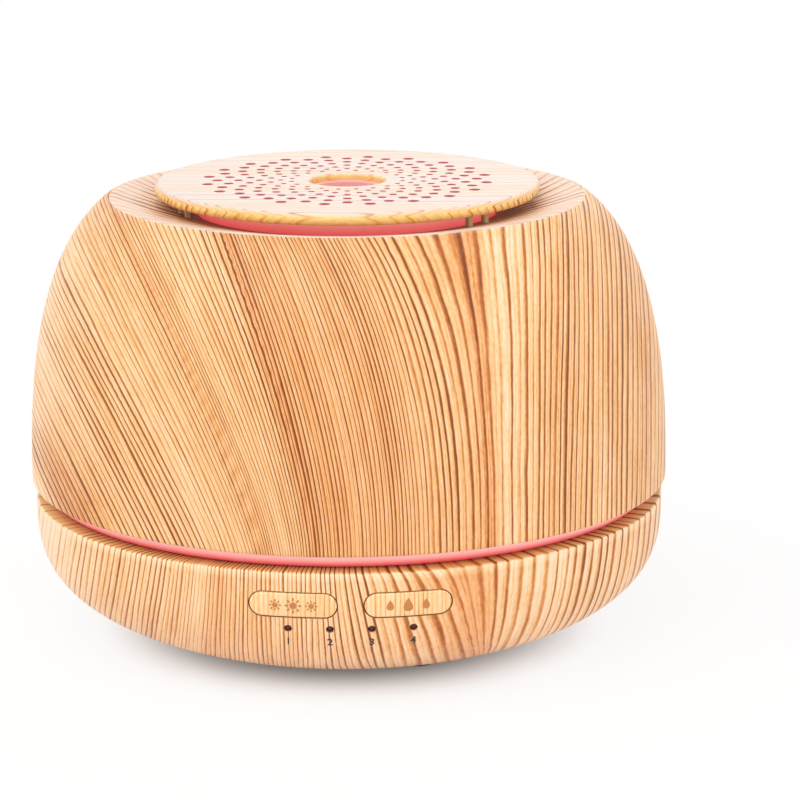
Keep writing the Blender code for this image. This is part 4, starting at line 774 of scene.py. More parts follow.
def wood_group():
    """Printed wood film. Ring is the running number of the growth ring and Along the length along it in mm.

    Each ring darkens towards its outer edge and ends sharply, by an amount of its own; lines waver, fibres
    streak along them, and Bold, the stain input, Pale and Warm strengthen, redden, whiten or yellow the
    print. The stain input lightens where negative, and the maps also use it and Pale for painted light and
    shade."""
    inputs = {"Ring": 0.0, "Along": 0.0, "Bold": 1.0, "StainAndPaintedLight": 0.0, "Pale": 0.0, "Tone": 0.0, "Warm": 0.0}
    tree, given, out = node_group("wood_film", inputs, SURFACE)
    ring, along = given["Ring"], given["Along"]
    position = add_node(tree, "ShaderNodeTexCoord").outputs["Object"]
    deep = add_node(tree, "ShaderNodeSeparateXYZ", {0: position}).outputs[1]

    def noise(ring_rate, along_rate, seed=0.0, detail=2.0, depth_rate=20.0, number=None):
        """Centred noise whose cells are long along the grain, and that also changes from front to back."""
        spot = {
            0: calc(tree, "MULTIPLY", number or ring, ring_rate),
            1: calc(tree, "MULTIPLY", along, along_rate),
            2: calc(tree, "MULTIPLY_ADD", deep, depth_rate, seed),
        }
        where = add_node(tree, "ShaderNodeCombineXYZ", spot).outputs[0]
        return calc(tree, "SUBTRACT", cloudy(tree, where, 1.0, detail), 0.5)

    wavy = ring
    for ring_rate, along_rate, seed, amount in WAVERS:
        wavy = calc(tree, "MULTIPLY_ADD", noise(ring_rate, along_rate, seed), amount, wavy)
    number = calc(tree, "FLOOR", wavy)
    part = calc(tree, "FRACT", wavy)
    chance = add_node(tree, "ShaderNodeTexWhiteNoise", {"W": number}, noise_dimensions="1D")
    chances = add_node(tree, "ShaderNodeSeparateColor", {0: chance.outputs["Color"]}).outputs
    begin = calc(tree, "MULTIPLY_ADD", chances[0], 0.3, 0.25)
    rise = step(tree, part, begin, 0.8)
    fall = step(tree, part, 0.82, 1.0, 1.0, 0.0)
    late = calc(tree, "MULTIPLY", calc(tree, "POWER", rise, 1.4), fall)
    faint_spot = calc(tree, "MULTIPLY_ADD", chances[2], 0.25, 0.2)
    faint = calc(tree, "ABSOLUTE", calc(tree, "SUBTRACT", part, faint_spot))
    faint = calc(tree, "MULTIPLY", step(tree, faint, 0.0, 0.14, 1.0, 0.0), 0.18)
    patch = noise(1.0, 0.035, 11.0, number=number)
    own = calc(tree, "MULTIPLY_ADD", chances[1], 0.58, 0.4)
    own = calc(tree, "MULTIPLY_ADD", patch, 0.6, own)
    dark = calc(tree, "MULTIPLY", calc(tree, "MULTIPLY", late, own), given["Bold"])
    dark = calc(tree, "MULTIPLY_ADD", faint, given["Bold"], dark)
    fibre = noise(4.5, 0.14, 5.0, detail=4.0, depth_rate=60.0)
    scratch = noise(7.0, 0.7, 9.0, detail=3.0, depth_rate=60.0)
    broad = noise(0.07, 0.008, 13.0)
    cloud = noise(0.35, 0.05, 17.0, depth_rate=60.0)
    layers = [(fibre, 0.46), (scratch, 0.42), (broad, 0.25), (cloud, 0.25), (given["StainAndPaintedLight"], 0.3)]
    shade = dark
    for layer, amount in layers:
        shade = calc(tree, "MULTIPLY_ADD", layer, amount, shade)
    shade = calc(tree, "ADD", shade, given["Tone"])
    shade = calc(tree, "ADD", shade, 0.22, clamp=True)
    ramp = add_node(tree, "ShaderNodeValToRGB", {0: shade})
    marks = ramp.color_ramp.elements
    while len(marks) < len(WOOD_SHADES):
        marks.new(0.5)
    for mark, (level, shade_colour) in zip(marks, WOOD_SHADES):
        mark.position = level
        mark.color = shade_colour
    stained = calc(tree, "MULTIPLY", given["StainAndPaintedLight"], 0.5, clamp=True)
    colour = blend(tree, stained, ramp.outputs[0], STAIN_RED, "MULTIPLY")
    colour = blend(tree, given["Warm"], colour, HONEY, "MULTIPLY")
    open_wood = calc(tree, "MULTIPLY_ADD", dark, -0.6, 1.0, clamp=True)
    colour = blend(tree, calc(tree, "MULTIPLY", given["Pale"], open_wood), colour, WASH)
    tree.links.new(colour, out["Colour"])
    rough = calc(tree, "MULTIPLY_ADD", dark, -0.05, 0.46)
    tree.links.new(calc(tree, "MULTIPLY_ADD", fibre, 0.18, rough), out["Roughness"])
    height = calc(tree, "MULTIPLY", dark, -0.5)
    tree.links.new(calc(tree, "MULTIPLY_ADD", fibre, 0.6, height), out["Height"])
    return tree


WOOD = wood_group()


def wood_film(name, tone=0.0, warm=0.0, pale_map=False, lacquer=1.0):
    """Material of a piece under the film: the print from its UV maps below a thin satin lacquer.

    The grade map's second value whitens the print where pale_map is set, and else stains it, or lightens it
    where negative, which some maps use for painted light."""
    material, tree = new_material(name)
    grain = add_node(tree, "ShaderNodeUVMap", uv_map="grain").outputs[0]
    grade = add_node(tree, "ShaderNodeUVMap", uv_map="grade").outputs[0]
    grain = add_node(tree, "ShaderNodeSeparateXYZ", {0: grain}).outputs
    grade = add_node(tree, "ShaderNodeSeparateXYZ", {0: grade}).outputs
    inputs = {"Ring": grain[0], "Along": grain[1], "Bold": grade[0], "Tone": tone, "Warm": warm}
    inputs["Pale" if pale_map else "StainAndPaintedLight"] = grade[1]
    film = add_node(tree, "ShaderNodeGroup", inputs, node_tree=WOOD)
    shader = {
        "Base Color": film.outputs["Colour"],
        "Roughness": film.outputs["Roughness"],
        "Normal": relief(tree, film.outputs["Height"], 0.12, 0.0003),
        "Specular IOR Level": 0.25 * lacquer,
        "Coat Weight": 0.05 * lacquer,
        "Coat Roughness": 0.25,
        "Sheen Weight": 0.05 * lacquer,
        "Sheen Roughness": 0.35,
    }
    finish_surface(tree, shader)
    return material


# Tables of the base's film by where a line starts at the rim: drift to the left, its power, ring width,
# boldness and stain.
BASE_SHIFT = (
    (-190, -110, -84, -60, -45, -33, -20, -10, -4, 0, 8, 14)
    + (19, 22.6, 26, 30, 34, 38, 42, 50, 60, 68, 110, 190),
    (0, 3, 7, 7, 6, 3, 0, 0, -3, -5.5, -8.5, -10)
    + (-10.2, -9.3, -7, -3.5, 0, 3.3, 5, 6.5, 7, 6, 0, 0),
)
BASE_POWER = (
    (-190, -30, -4, 6, 24, 30, 36, 50, 68, 110, 190),
    (1.0, 1.1, 1.2, 0.75, 0.65, 1.0, 1.6, 1.7, 1.5, 1.2, 1.0),
)
BASE_WIDTHS = (
    (-190, -75, -60, -48, -38, -33, -20, -2, 5, 10, 17, 25, 33, 36, 44, 50, 55, 64, 80, 190),
    (1.5, 1.5, 1.5, 1.3, 0.8, 1.0, 1.05, 1.2, 1.8, 2.8, 3.6, 4.4, 4.4, 3.4, 3.4, 2.8, 2.4, 2.0, 1.7, 1.6),
)
BASE_BOLD = (
    (-190, -60, -46, -38, -32, -26, 6, 22, 25, 28, 34, 37, 39, 44, 60, 190),
    (1.0, 1.0, 0.9, 0.6, 1.15, 0.9, 1.0, 0.95, 0.8, 0.55, 0.5, 1.0, 1.0, 0.8, 1.0, 1.0),
)
BASE_STREAK = (
    (-190, -36, -32, -28, 10, 17, 24, 30, 35, 38, 42, 50, 60, 190),
    (0, 0, 0.3, 0, 0, 0.3, 0.55, 0.55, 0.25, -0.05, -0.35, -0.35, -0.15, 0),
)
BASE_FILM = wood_film("base_film", tone=-0.08)
# The ledge, in the shade of the cover's overhang, gets a paler and yellower copy of the film: painted light
# against its shade and the ring's red cast.
LEDGE_LIGHTENED_FILM = wood_film("ledge_lightened_film", tone=-0.1, warm=0.9)
rise = np.linspace(SEAM_Z, BASE_WIDEST_Z, 40)
inner = np.linspace(BASE_WIDEST_Z, SEAM_Z + WALL, 24)
base_profile = np.vstack([
    np.column_stack([bowl_radius(rise), rise])[:-1],
    sweep((BASE_RADIUS - RIM_ROUND, RIM_Z - RIM_ROUND), RIM_ROUND, 0, 90, RIM_ROWS),
    line((LEDGE_OUTER, RIM_Z), (LEDGE_INNER, RIM_Z), LEDGE_ROWS),
    [(LEDGE_INNER, RIM_Z), (LEDGE_INNER, RIM_Z - WALL), (BASE_RADIUS - WALL, RIM_Z - WALL)],
    np.column_stack([bowl_radius(inner, WALL), inner]),
    [(LIP_INNER, SEAM_Z + WALL), (LIP_INNER, SEAM_Z)],
])
radius, z, angle = closed_grid(base_profile, COLUMNS)
down = np.clip((RIM_Z - z) / FILM_FALL, 0.0, 1.0) + 0 * angle
crossing = np.where(z > RIM_Z - RIM_ROUND, BASE_RADIUS, radius) * np.sin(angle)
start = trace_back(crossing, BASE_SHIFT, BASE_POWER, down)
along = -z - 0.3 * radius * np.cos(angle) + 0 * angle
side_rows = len(rise) - 1 + RIM_ROWS - RIM_ROWS // 2
ledge_rows = len(rise) - 1 + RIM_ROWS + LEDGE_ROWS
rows = np.arange(len(base_profile))
base_finish = np.select([rows < side_rows, rows < ledge_rows], [0, 2], 1)
base_maps = film_maps(start, along, BASE_WIDTHS, BASE_BOLD, BASE_STREAK)
# Painted sheen on the left side: towards the left edge the film is made paler and its lines weaker, as where
# light washes over it.
left_side_sheen = ease(-crossing, 58.0, 80.0)
# The stain is lowered on the rim and the ledge: a painted highlight along the rim and painted light on the
# shaded ledge. The ledge's bolder lines are print.
base_maps["grade"][:, :, 0] *= (1.0 + 0.7 * ease(z, 37.4, 37.7)) * (1.0 - 0.3 * left_side_sheen)
base_maps["grade"][:, :, 1] -= 0.8 * ease(z, 36.6, 37.4) + 0.85 * left_side_sheen
base_points = turn_profile(base_profile, COLUMNS)
base_mesh = skin("base", base_points, closed=True, maps=base_maps, finish=base_finish)


def pill(half, count=16, straight=12):
    """Outline of a pill along X, anticlockwise from its right end: two half circles and two straight runs."""
    end = half[1]
    run = half[0] - end
    right = np.radians(np.linspace(-90, 90, count, endpoint=False))
    left = right + np.pi
    back = np.linspace(run, -run, straight, endpoint=False)
    x = np.concatenate([run + end * np.cos(right), back, -run + end * np.cos(left), -back])
    z = np.concatenate([end * np.sin(right), 0 * back + end, end * np.sin(left), 0 * back - end])
    return x, z


def disc_outline(x, z, radius, count=28):
    """Outline of a circle in X and Z."""
    t = np.linspace(0.0, 2 * np.pi, count, endpoint=False)
    return x + radius * np.cos(t), z + radius * np.sin(t)


pill_x, pill_z = pill((BUTTON_HALF[0] + FIT, BUTTON_HALF[1] + FIT))
base_cuts = [bar_through((pill_x + side * BUTTON_X, pill_z + BUTTON_Z), *BUTTON_CUT) for side in (-1, 1)]
base_cuts += [bar_through(disc_outline(x, INDICATOR_Z, INDICATOR_HOLE), *INDICATOR_CUT) for x in INDICATOR_X]
base_cuts.append(bar_through(disc_outline(0.0, JACK_Z, INLET_HOLE, 40), *INLET_CUT))
base_finishes = [BASE_FILM, TAN_PLASTIC, LEDGE_LIGHTENED_FILM]
coat(base_mesh, base_finishes)
for other in base_cuts:
    coat(other, base_finishes, 1)
base_mesh = carve(base_mesh, base_cuts)
place("wood_base_shell", base_mesh, "base", base_finishes, ["lower_shell"])


# Indicator pins and their numbers: red light guides sunk in four small holes, dark while unlit, with plain
# printed numbers below them in place of words.
LABEL_Z = 18.2
LABEL_SIZE = 3.0
LABEL_THICK = 0.06
LABEL_BOLD = 0.045
GUIDE_RED = moulded("guide_red", srgb(112, 22, 14), 0.25, cloud=0.2, speckle=0.05, bump=0.03)
LABEL_INK = moulded("label_ink", srgb(44, 40, 42), 0.55, cloud=0.15, speckle=0.15, bump=0.05)
finish_node("indicator_light_guide", GUIDE_RED)


def number_label(text, x):
    """Thin plate of a numeral laid on the base's side, with its depth taken along the radius."""
    curve = bpy.data.curves.new(f"label_{text}", "FONT")
    curve.body = text
    curve.size = LABEL_SIZE
    curve.align_x = "CENTER"
    curve.extrude = LABEL_THICK
    curve.offset = LABEL_BOLD
    curve.resolution_u = 6
    holder = bpy.data.objects.new("label", curve)
    bpy.context.scene.collection.objects.link(holder)
    view = bpy.context.evaluated_depsgraph_get()
    mesh = bpy.data.meshes.new_from_object(holder.evaluated_get(view))
    bpy.data.objects.remove(holder, do_unlink=True)
    flat = np.zeros(len(mesh.vertices) * 3, np.float32)
    mesh.vertices.foreach_get("co", flat)
    flat = flat.reshape(-1, 3)
    across, up = x + flat[:, 0], LABEL_Z + flat[:, 1]
    out = bowl_radius(up) + flat[:, 2]
    spots = np.column_stack([across, -np.sqrt(out**2 - across**2), up]) * MM
    mesh.vertices.foreach_set("co", spots.astype(np.float32).ravel())
    tidy(mesh)
    place(f"indicator_number_{text}", mesh, "base", [LABEL_INK])


for number, x in enumerate(INDICATOR_X, 1):
    number_label(str(number), x)


# Buttons: two pill caps with their own paler film, a little proud of the base, each held by a flange behind
# the wall and reaching back to its switch. Raised suns and raised droplets say what they do.
BUTTON_PROUD = 0.4
BUTTON_EDGE = 0.6
FLANGE_FRONT = -2.5  # measured from the base's side, as is the back
FLANGE_BACK = -3.7
FLANGE_WIDER = 1.2
MARK_ROWS = ((1.0, -0.25), (1.0, 0.10), (0.90, 0.20), (0.5, 0.22), (0.05, 0.22))  # share of size, lift
SIGN_ROW = ((-4.4, 0.75), (0.0, 1.0), (4.4, 0.75))  # place along the button and size of each sign
FILM_STEP = 60.0  # how far apart the two caps are cut from their film
PALE_FILM = wood_film("pale_wood_film", tone=-0.16, warm=0.35)
MARK_BROWN = moulded("button_mark", srgb(196, 126, 66), 0.5, cloud=0.25, speckle=0.25)


def even(value):
    """Table with one value all over a film."""
    return (-190, 190), (value, value)


def on_bowl(x, z, proud):
    """Point in front of or behind the base's side at X and Z."""
    out = bowl_radius(z) + proud
    return np.stack([x, -np.sqrt(np.maximum(out**2 - x**2, 0.0)), z], -1)


def button_grid(x_middle):
    """Rows from the crown over the rounded edge, along the side, round the flange and down to the stem."""
    rows = [(0.02, 0.0, BUTTON_PROUD)]
    rows += [(share, 0.0, BUTTON_PROUD) for share in np.linspace(0.15, 0.85, 8)]
    turn = np.radians(np.linspace(90, 0, 7))
    for c, s in zip(np.cos(turn), np.sin(turn)):
        rows.append((1.0, -BUTTON_EDGE + BUTTON_EDGE * c, BUTTON_PROUD - BUTTON_EDGE + BUTTON_EDGE * s))
    rows += [(1.0, 0.0, FLANGE_FRONT), (1.0, FLANGE_WIDER, FLANGE_FRONT)]
    rows += [(1.0, FLANGE_WIDER, FLANGE_BACK), (0.3, 0.0, FLANGE_BACK)]
    grid = []
    for share, grow, proud in rows:
        x, z = pill((BUTTON_HALF[0] + grow, BUTTON_HALF[1] + grow))
        grid.append(on_bowl(x_middle + share * x, BUTTON_Z + share * z, proud))
    return np.array(grid)


def raised_mark(name, body, outlines, x_middle):
    """Raised signs on a button: each outline stands up from the cap, slopes in and closes over its middle."""
    work = bmesh.new()
    for x, z in outlines:
        middle = (x.mean(), z.mean())
        grid = []
        for share, lift in MARK_ROWS:
            across = x_middle + middle[0] + share * (x - middle[0])
            up = BUTTON_Z + middle[1] + share * (z - middle[1])
            grid.append(on_bowl(across, up, BUTTON_PROUD + lift))
        work.from_mesh(skin(name, np.array(grid)))
    mesh = bpy.data.meshes.new(name)
    work.to_mesh(mesh)
    work.free()
    place(name, mesh, body, [MARK_BROWN])


def sun_outlines(x_middle, size):
    """A disc and eight short round-ended rays about it."""
    shapes = [disc_outline(x_middle, 0.0, 0.85 * size, 24)]
    for k in range(8):
        t = np.pi / 4 * k
        x, z = pill((0.42 * size, 0.19 * size), 5, 2)
        x = x + 1.62 * size
        shapes.append((x_middle + x * np.cos(t) - z * np.sin(t), x * np.sin(t) + z * np.cos(t)))
    return shapes


def droplet_outlines(x_middle, size):
    """A drop: a circle drawn out to a point above, the width falling with the height."""
    t = np.linspace(0.0, 2 * np.pi, 40, endpoint=False)
    x = 1.6 * size * np.sin(t) * np.sin(t / 2) ** 1.3
    z = size * (1.75 * np.cos(t) + 0.1)
    return [(x_middle + x, z)]


for number, (button, x_middle, sign) in enumerate((
    ("light_button", -BUTTON_X, sun_outlines),
    ("mist_button", BUTTON_X, droplet_outlines),
)):
    points = button_grid(x_middle)
    spread = np.concatenate([points, points[:, :1]], axis=1)
    start = spread[:, :, 0] + FILM_STEP * number
    maps = film_maps(start, -spread[:, :, 2], even(1.15), even(0.45), even(0.0))
    button_mesh = skin(f"{button}_cap", points, maps=maps)
    place(f"{button}_cap", button_mesh, button, [PALE_FILM], [button])
    outlines = [shape for spot in SIGN_ROW for shape in sign(*spot)]
    raised_mark(f"{button}_mark", button, outlines, x_middle)


# Mist shade: a translucent liner screwed under the cover, whose drum neck shows as the red band below the
# disc and whose chimney leads the mist to the outlet. It glows with the light from the tank.
NECK_RADIUS = 38.8
SHADE_TOP = 116.5
SHADE_WALL = 1.6
CHIMNEY = 8.0
CHIMNEY_LOW = 95.0
SPIGOT_TOP = 118.3
SPIGOT_WALL = 1.4
SHOULDER = (52.0, 108.2)
SPRING_Z = 80.0
SKIRT = (68.5, 54.0)
# The drum and the spigot are one plastic. The drum's paler top, deeper foot and stronger glow are painted
# light on the band in the disc's shade. The spigot, out in the light, glows less.
DRUM_GLOW = (srgb(230, 84, 84), srgb(242, 158, 148))
LIT_DRUM = lit_plastic("lit_drum", srgb(236, 150, 148), srgb(230, 100, 104), DRUM_GLOW, 112.0, 117.0, 0.72)
SPIGOT_PINK = srgb(216, 152, 152)
LIT_SPIGOT = lit_plastic("lit_spigot", SPIGOT_PINK, SPIGOT_PINK, DRUM_GLOW, 112.0, 117.0, 0.24)
turn = np.radians(np.linspace(0, 90, 20))
dome_out, dome_in = [
    np.column_stack([
        SHOULDER[0] + (SKIRT[0] - inset - SHOULDER[0]) * np.cos(turn),
        SPRING_Z + (SHOULDER[1] - inset - SPRING_Z) * np.sin(turn),
    ])
    for inset in (0.0, SHADE_WALL)
]
skirt_in = SKIRT[0] - SHADE_WALL
neck_in = NECK_RADIUS - SHADE_WALL
spigot_out = CHIMNEY + SPIGOT_WALL
chimney_out = CHIMNEY + SHADE_WALL
shade_profile = np.vstack([
    line(SKIRT, (SKIRT[0], SPRING_Z), 6),
    dome_out,
    [(NECK_RADIUS + 0.6, SHOULDER[1]), (NECK_RADIUS, SHOULDER[1] + 0.6)],
    line((NECK_RADIUS, SHOULDER[1] + 1.0), (NECK_RADIUS, SHADE_TOP - 0.8), 6),
    sweep((NECK_RADIUS - 0.8, SHADE_TOP - 0.8), 0.8, 0, 90, 6),
    line((NECK_RADIUS - 2.0, SHADE_TOP), (spigot_out, SHADE_TOP), 8),
    [(spigot_out, SHADE_TOP), (spigot_out, SPIGOT_TOP - 0.3)],
    sweep((spigot_out - 0.3, SPIGOT_TOP - 0.3), 0.3, 0, 90, 4),
    sweep((CHIMNEY + 0.4, SPIGOT_TOP - 0.4), 0.4, 90, 180, 4),
    [(CHIMNEY, 105.0), (CHIMNEY, CHIMNEY_LOW), (chimney_out, CHIMNEY_LOW), (chimney_out, 105.0)],
    [(chimney_out, SHADE_TOP - SHADE_WALL), (neck_in, SHADE_TOP - SHADE_WALL)],
    [(neck_in, SHOULDER[1] - SHADE_WALL)],
    dome_in[::-1],
    line((skirt_in, SPRING_Z - 2.0), (skirt_in, SKIRT[1]), 5),
    [(skirt_in, SKIRT[1])],
])
spigot = (shade_profile[:, 0] < spigot_out + 0.1) & (shade_profile[:, 1] > SHADE_TOP - 0.1)
shade_mesh = skin("shade", turn_profile(shade_profile, 180), closed=True, finish=spigot.astype(int))
place("lit_mist_shade", shade_mesh, "cover", [LIT_DRUM, LIT_SPIGOT], ["mist_shade"])


# Upper shell: the moulded dome of the cover under the same kind of film, its grain leaning over to the left
# and meeting in a point right of the middle, with a shallow dish on top and a flange that seats on the ring.
COVER_Z = 42.0
CREST_Z = 116.7
COVER_RADIUS = 84.0
COVER_REACH = 83.0
DISH_INNER = 39.3
DISH_DROP = 4.3
CREST_EDGE = 1.2
COVER_EDGE = 1.2
COVER_LIP = 0.8
CREST_ROWS = 10
LIP_ROWS = 8
DISH_ROWS = 12
FLANGE_Z = (45.5, 43.3)
FLANGE_RADII = (72.4, 81.8)
VIEW_LEAN = (0.9716, 0.2367)  # cosine and sine of the angle at which the film was drawn over the dome
RUN_FROM = 40.8  # height, seen at that angle, where the lines start, and how far they run
RUN_LENGTH = 77.3
# Tables of the cover's film by where a line starts at the seam, as for the base.
COVER_SHIFT = (
    (-190, -110, -84, -36.5, -17, -9.5, 0, 12, 25, 30, 35, 41, 52, 64, 190),
    (0, 30, 44, 41.5, 30.5, 20.2, 19.6, 17.6, 16.4, 12.8, 4.5, 0, -2, -1, 0),
)
COVER_POWER = (
    (-190, -60, -36.5, -17, -9.5, 0, 12, 25, 30, 36, 190),
    (1.0, 1.05, 1.1, 1.28, 1.43, 1.75, 2.2, 2.6, 2.8, 1.6, 1.2),
)
COVER_WIDTHS = (
    (-190, -84, -62, -38, -31, -22, -20, -12, -9, -3, 8)
    + (16, 20, 27, 33, 37, 42, 46, 60, 84, 190),
    (1.5, 1.5, 1.4, 1.4, 1.1, 0.8, 0.6, 0.6, 0.85, 0.95, 0.9)
    + (0.9, 1.4, 1.6, 2.1, 2.0, 1.7, 1.4, 1.4, 1.4, 1.5),
)
COVER_BOLD = (
    (-190, -38, -31, -23, -21.5, -20, -13, -10.5, -7, -4, 6)
    + (14, 18, 28, 31, 34, 37, 42, 46, 53, 58, 190),
    (0.95, 0.95, 0.9, 0.85, 1.2, 0.85, 0.85, 1.2, 1.2, 1.0, 1.0)
    + (0.95, 0.85, 0.9, 0.75, 1.0, 0.8, 0.8, 1.1, 1.2, 1.0, 0.95),
)
# Its negative values left of -30 paint the left side paler, a painted sheen where light washes over it. Its
# other values are the print's stain.
COVER_STAIN_AND_SHEEN = (
    (-190, -75, -66, -60, -57, -54, -45, -30, -22.6, -21.5, -20.4, -16, -11, -9.2, -7.4)
    + (-5, 6, 13, 18, 22, 31, 33, 35, 37.5, 42, 46, 54, 58, 190),
    (-0.2, -0.3, -0.2, -0.1, 0.25, -0.15, -0.15, -0.1, 0, 0.4, 0, -0.15, 0, 0.65, 0.3)
    + (0.25, 0.25, 0.3, 0.2, 0.15, 0.1, 0.45, 0.45, -0.3, -0.35, -0.1, 0.1, 0, 0),
)


def dome_radius(z, inset=0.0):
    """Radius of the cover's side at a height, by its superellipse, or of a surface set in from it."""
    rise = np.clip((np.asarray(z, float) - COVER_Z) / (COVER_REACH - inset), 0.0, 1.0)
    return (COVER_RADIUS - inset) * (1.0 - rise**2.4) ** 0.2


def dish_height(radius):
    """Height of the dish, a shallow cone from the crest down to the drum."""
    crest = dome_radius(CREST_Z)
    return CREST_Z - DISH_DROP * (crest - radius) / (crest - DISH_INNER)


WOOD_FILM = wood_film("wood_film")
DISH_FILM = wood_film("dish_film", tone=-0.04, pale_map=True, lacquer=0.3)
DISH_SWIRL = 62.0  # how far behind the axis the rings of the dish's film have their centre
crest = float(dome_radius(CREST_Z))
shoulder_z = CREST_Z - CREST_EDGE
side_z = COVER_Z + COVER_EDGE + (shoulder_z - COVER_Z - COVER_EDGE) * np.sin(np.linspace(0, np.pi / 2, 60))
dish_edge = crest - 2 * CREST_EDGE
dish_outer = (dish_edge, dish_height(dish_edge))
dish_lip = (DISH_INNER + 0.4, dish_height(DISH_INNER + 0.4))
cover_foot = (COVER_RADIUS - COVER_LIP, COVER_Z)
inner_z = np.linspace(112.5, FLANGE_Z[0], 36)
cover_profile = np.vstack([
    bend(cover_foot, (COVER_RADIUS, COVER_Z), (dome_radius(side_z[0]), side_z[0]), LIP_ROWS),
    np.column_stack([dome_radius(side_z), side_z])[:-1],
    bend((dome_radius(shoulder_z), shoulder_z), (crest, CREST_Z), dish_outer, CREST_ROWS),
    line(dish_outer, dish_lip, DISH_ROWS),
    [dish_lip, (DISH_INNER, dish_height(DISH_INNER) - 0.4)],
    [(DISH_INNER, dish_height(DISH_INNER) - WALL)],
    np.column_stack([dome_radius(inner_z, WALL), inner_z]),
    [(FLANGE_RADII[0], flange_z) for flange_z in FLANGE_Z],
    [(FLANGE_RADII[1], FLANGE_Z[1]), (FLANGE_RADII[1], COVER_Z)],
])
side_rows = LIP_ROWS + len(side_z) - 1 + CREST_ROWS // 2
top_rows = side_rows + CREST_ROWS // 2 + DISH_ROWS + 2
radius, z, angle = closed_grid(cover_profile, COLUMNS)
depth = COVER_RADIUS - radius * np.cos(np.minimum(np.abs(angle), np.pi / 2))
lifted = z * VIEW_LEAN[0] + depth * VIEW_LEAN[1]
run = np.clip((lifted - RUN_FROM) / RUN_LENGTH, 0.0, 1.25)
crossing = radius * np.sin(angle)
start = trace_back(crossing, COVER_SHIFT, COVER_POWER, run)
cover_maps = film_maps(start, lifted, COVER_WIDTHS, COVER_BOLD, COVER_STAIN_AND_SHEEN)
# Painted sheen on the left side, as on the base: paler film and weaker lines towards the left edge.
left_side_sheen = ease(-crossing, 60.0, 82.0)
cover_maps["grade"][:, :, 0] *= 1.0 - 0.3 * left_side_sheen
cover_maps["grade"][:, :, 1] -= 0.55 * left_side_sheen
corner = ease(start, -73.0, -68.0) * (1.0 - ease(start, -63.0, -57.0)) * (1.0 - ease(run, 0.3, 0.6))
cover_maps["grade"][:, :, 0] += 0.7 * corner
cover_maps["grade"][:, :, 1] += 0.85 * corner
swirl = -np.hypot(crossing, radius * np.cos(angle) + DISH_SWIRL) + 1.5 * np.sin(5 * angle)
dish_maps = film_maps(swirl, radius * np.abs(angle), even(3.6), even(0.75), even(0.56))
# Painted shadow under the disc: near the disc the dish's lines grow bolder and its wash thinner, so the dish
# darkens where the disc shades it.
disc_shadow = (1.0 - ease(radius, 48.0, 58.0)) * np.ones_like(angle)
dish_maps["grade"][:, :, 0] += 1.4 * disc_shadow
dish_maps["grade"][:, :, 1] -= 0.5 * disc_shadow
rows = np.arange(len(cover_profile))
cover_mesh = skin(
    "cover",
    turn_profile(cover_profile, COLUMNS),
    closed=True,
    maps={label: np.stack([cover_maps[label], dish_maps[label], cover_maps[label]]) for label in cover_maps},
    finish=np.select([rows < side_rows, rows < top_rows], [0, 1], 2),
)
cover_finishes = [WOOD_FILM, DISH_FILM, TAN_PLASTIC]
coat(cover_mesh, cover_finishes)
LEG_ANGLES = (-72.0, 48.0, 168.0)
LEG_RADIUS = 44.0
LEG_SIDE = 3.1
LEG_SLOT = (2.2, 1.0, 1.8)  # width, and reach in and out along the radius
LEG_STEM = (1.6, 0.7, 0.7)
LEG_HOOK = (1.8, 0.8, 1.6)


def leg_spots():
    """Turn and middle of each of the disc's six legs: pairs that stand side by side at three places."""
    spots = []
    for degrees in LEG_ANGLES:
        turn = math.radians(degrees)
        out = np.array([math.sin(turn), -math.cos(turn)])
        sideways = np.array([math.cos(turn), math.sin(turn)])
        spots += [(turn, LEG_RADIUS * out + side * LEG_SIDE * sideways) for side in (-1, 1)]
    return spots


def leg_bar(turn, spot, width, near, far, low, high, corner=0.2):
    """Upright bar with rounded corners at a leg, by its width and its reach in and out along the radius."""
    across, out = rounded((0.0, (far - near) / 2), (width / 2, (far + near) / 2), corner, 16)
    x = spot[0] + across * math.cos(turn) + out * math.sin(turn)
    y = spot[1] + across * math.sin(turn) - out * math.cos(turn)
    return upright((x, y), low, high)


slots = [leg_bar(turn, spot, *LEG_SLOT, 106.0, 119.0) for turn, spot in leg_spots()]
for other in slots:
    coat(other, cover_finishes, 2)
cover_mesh = carve(cover_mesh, slots)
place("wood_cover_shell", cover_mesh, "cover", cover_finishes, ["upper_shell"])


# Vent disc: a thin printed disc with a round outlet, nine staggered rings of holes that grow outwards, and
# three pairs of legs that snap through the dish. Its film runs from side to side and is pale on top, a
# painted reflection of the light from above.
DISC_RADIUS = 50.3
DISC_LOW = 116.8
DISC_TOP = 120.0
OUTLET = 9.8
OUTLET_ROUND = 0.9
VENT_RINGS = 9
VENT_HOLES = 20
VENT_FIRST = 14.6
VENT_PITCH = 2.75
VENT_BORES = (1.4, 3.0)
VENT_SIDES = 20
DISC_FILM = wood_film("disc_film", tone=-0.2, warm=0.9, pale_map=True)
rim = (DISC_TOP - DISC_LOW) / 2
disc_profile = np.vstack([
    line((OUTLET + 0.2, DISC_LOW), (DISC_RADIUS - rim, DISC_LOW), 14),
    sweep((DISC_RADIUS - rim, DISC_LOW + rim), rim, -90, 90, 17),
    line((DISC_RADIUS - rim - 1.0, DISC_TOP), (OUTLET + OUTLET_ROUND + 1.0, DISC_TOP), 14),
    sweep((OUTLET + OUTLET_ROUND, DISC_TOP - OUTLET_ROUND), OUTLET_ROUND, 90, 180, 8),
    [(OUTLET, DISC_LOW + 0.2)],
])
radius, z, angle = closed_grid(disc_profile, COLUMNS)
x, y = radius * np.sin(angle), -radius * np.cos(angle)
rim_share = 1.0 - ease(z, DISC_TOP - 1.2, DISC_TOP)
start = y + 0.035 * x + (z - DISC_LOW) + 1.4 * np.sin(x / 19.0)
start = start + 0.25 * rim_share * np.sqrt(x**2 + 40.0)
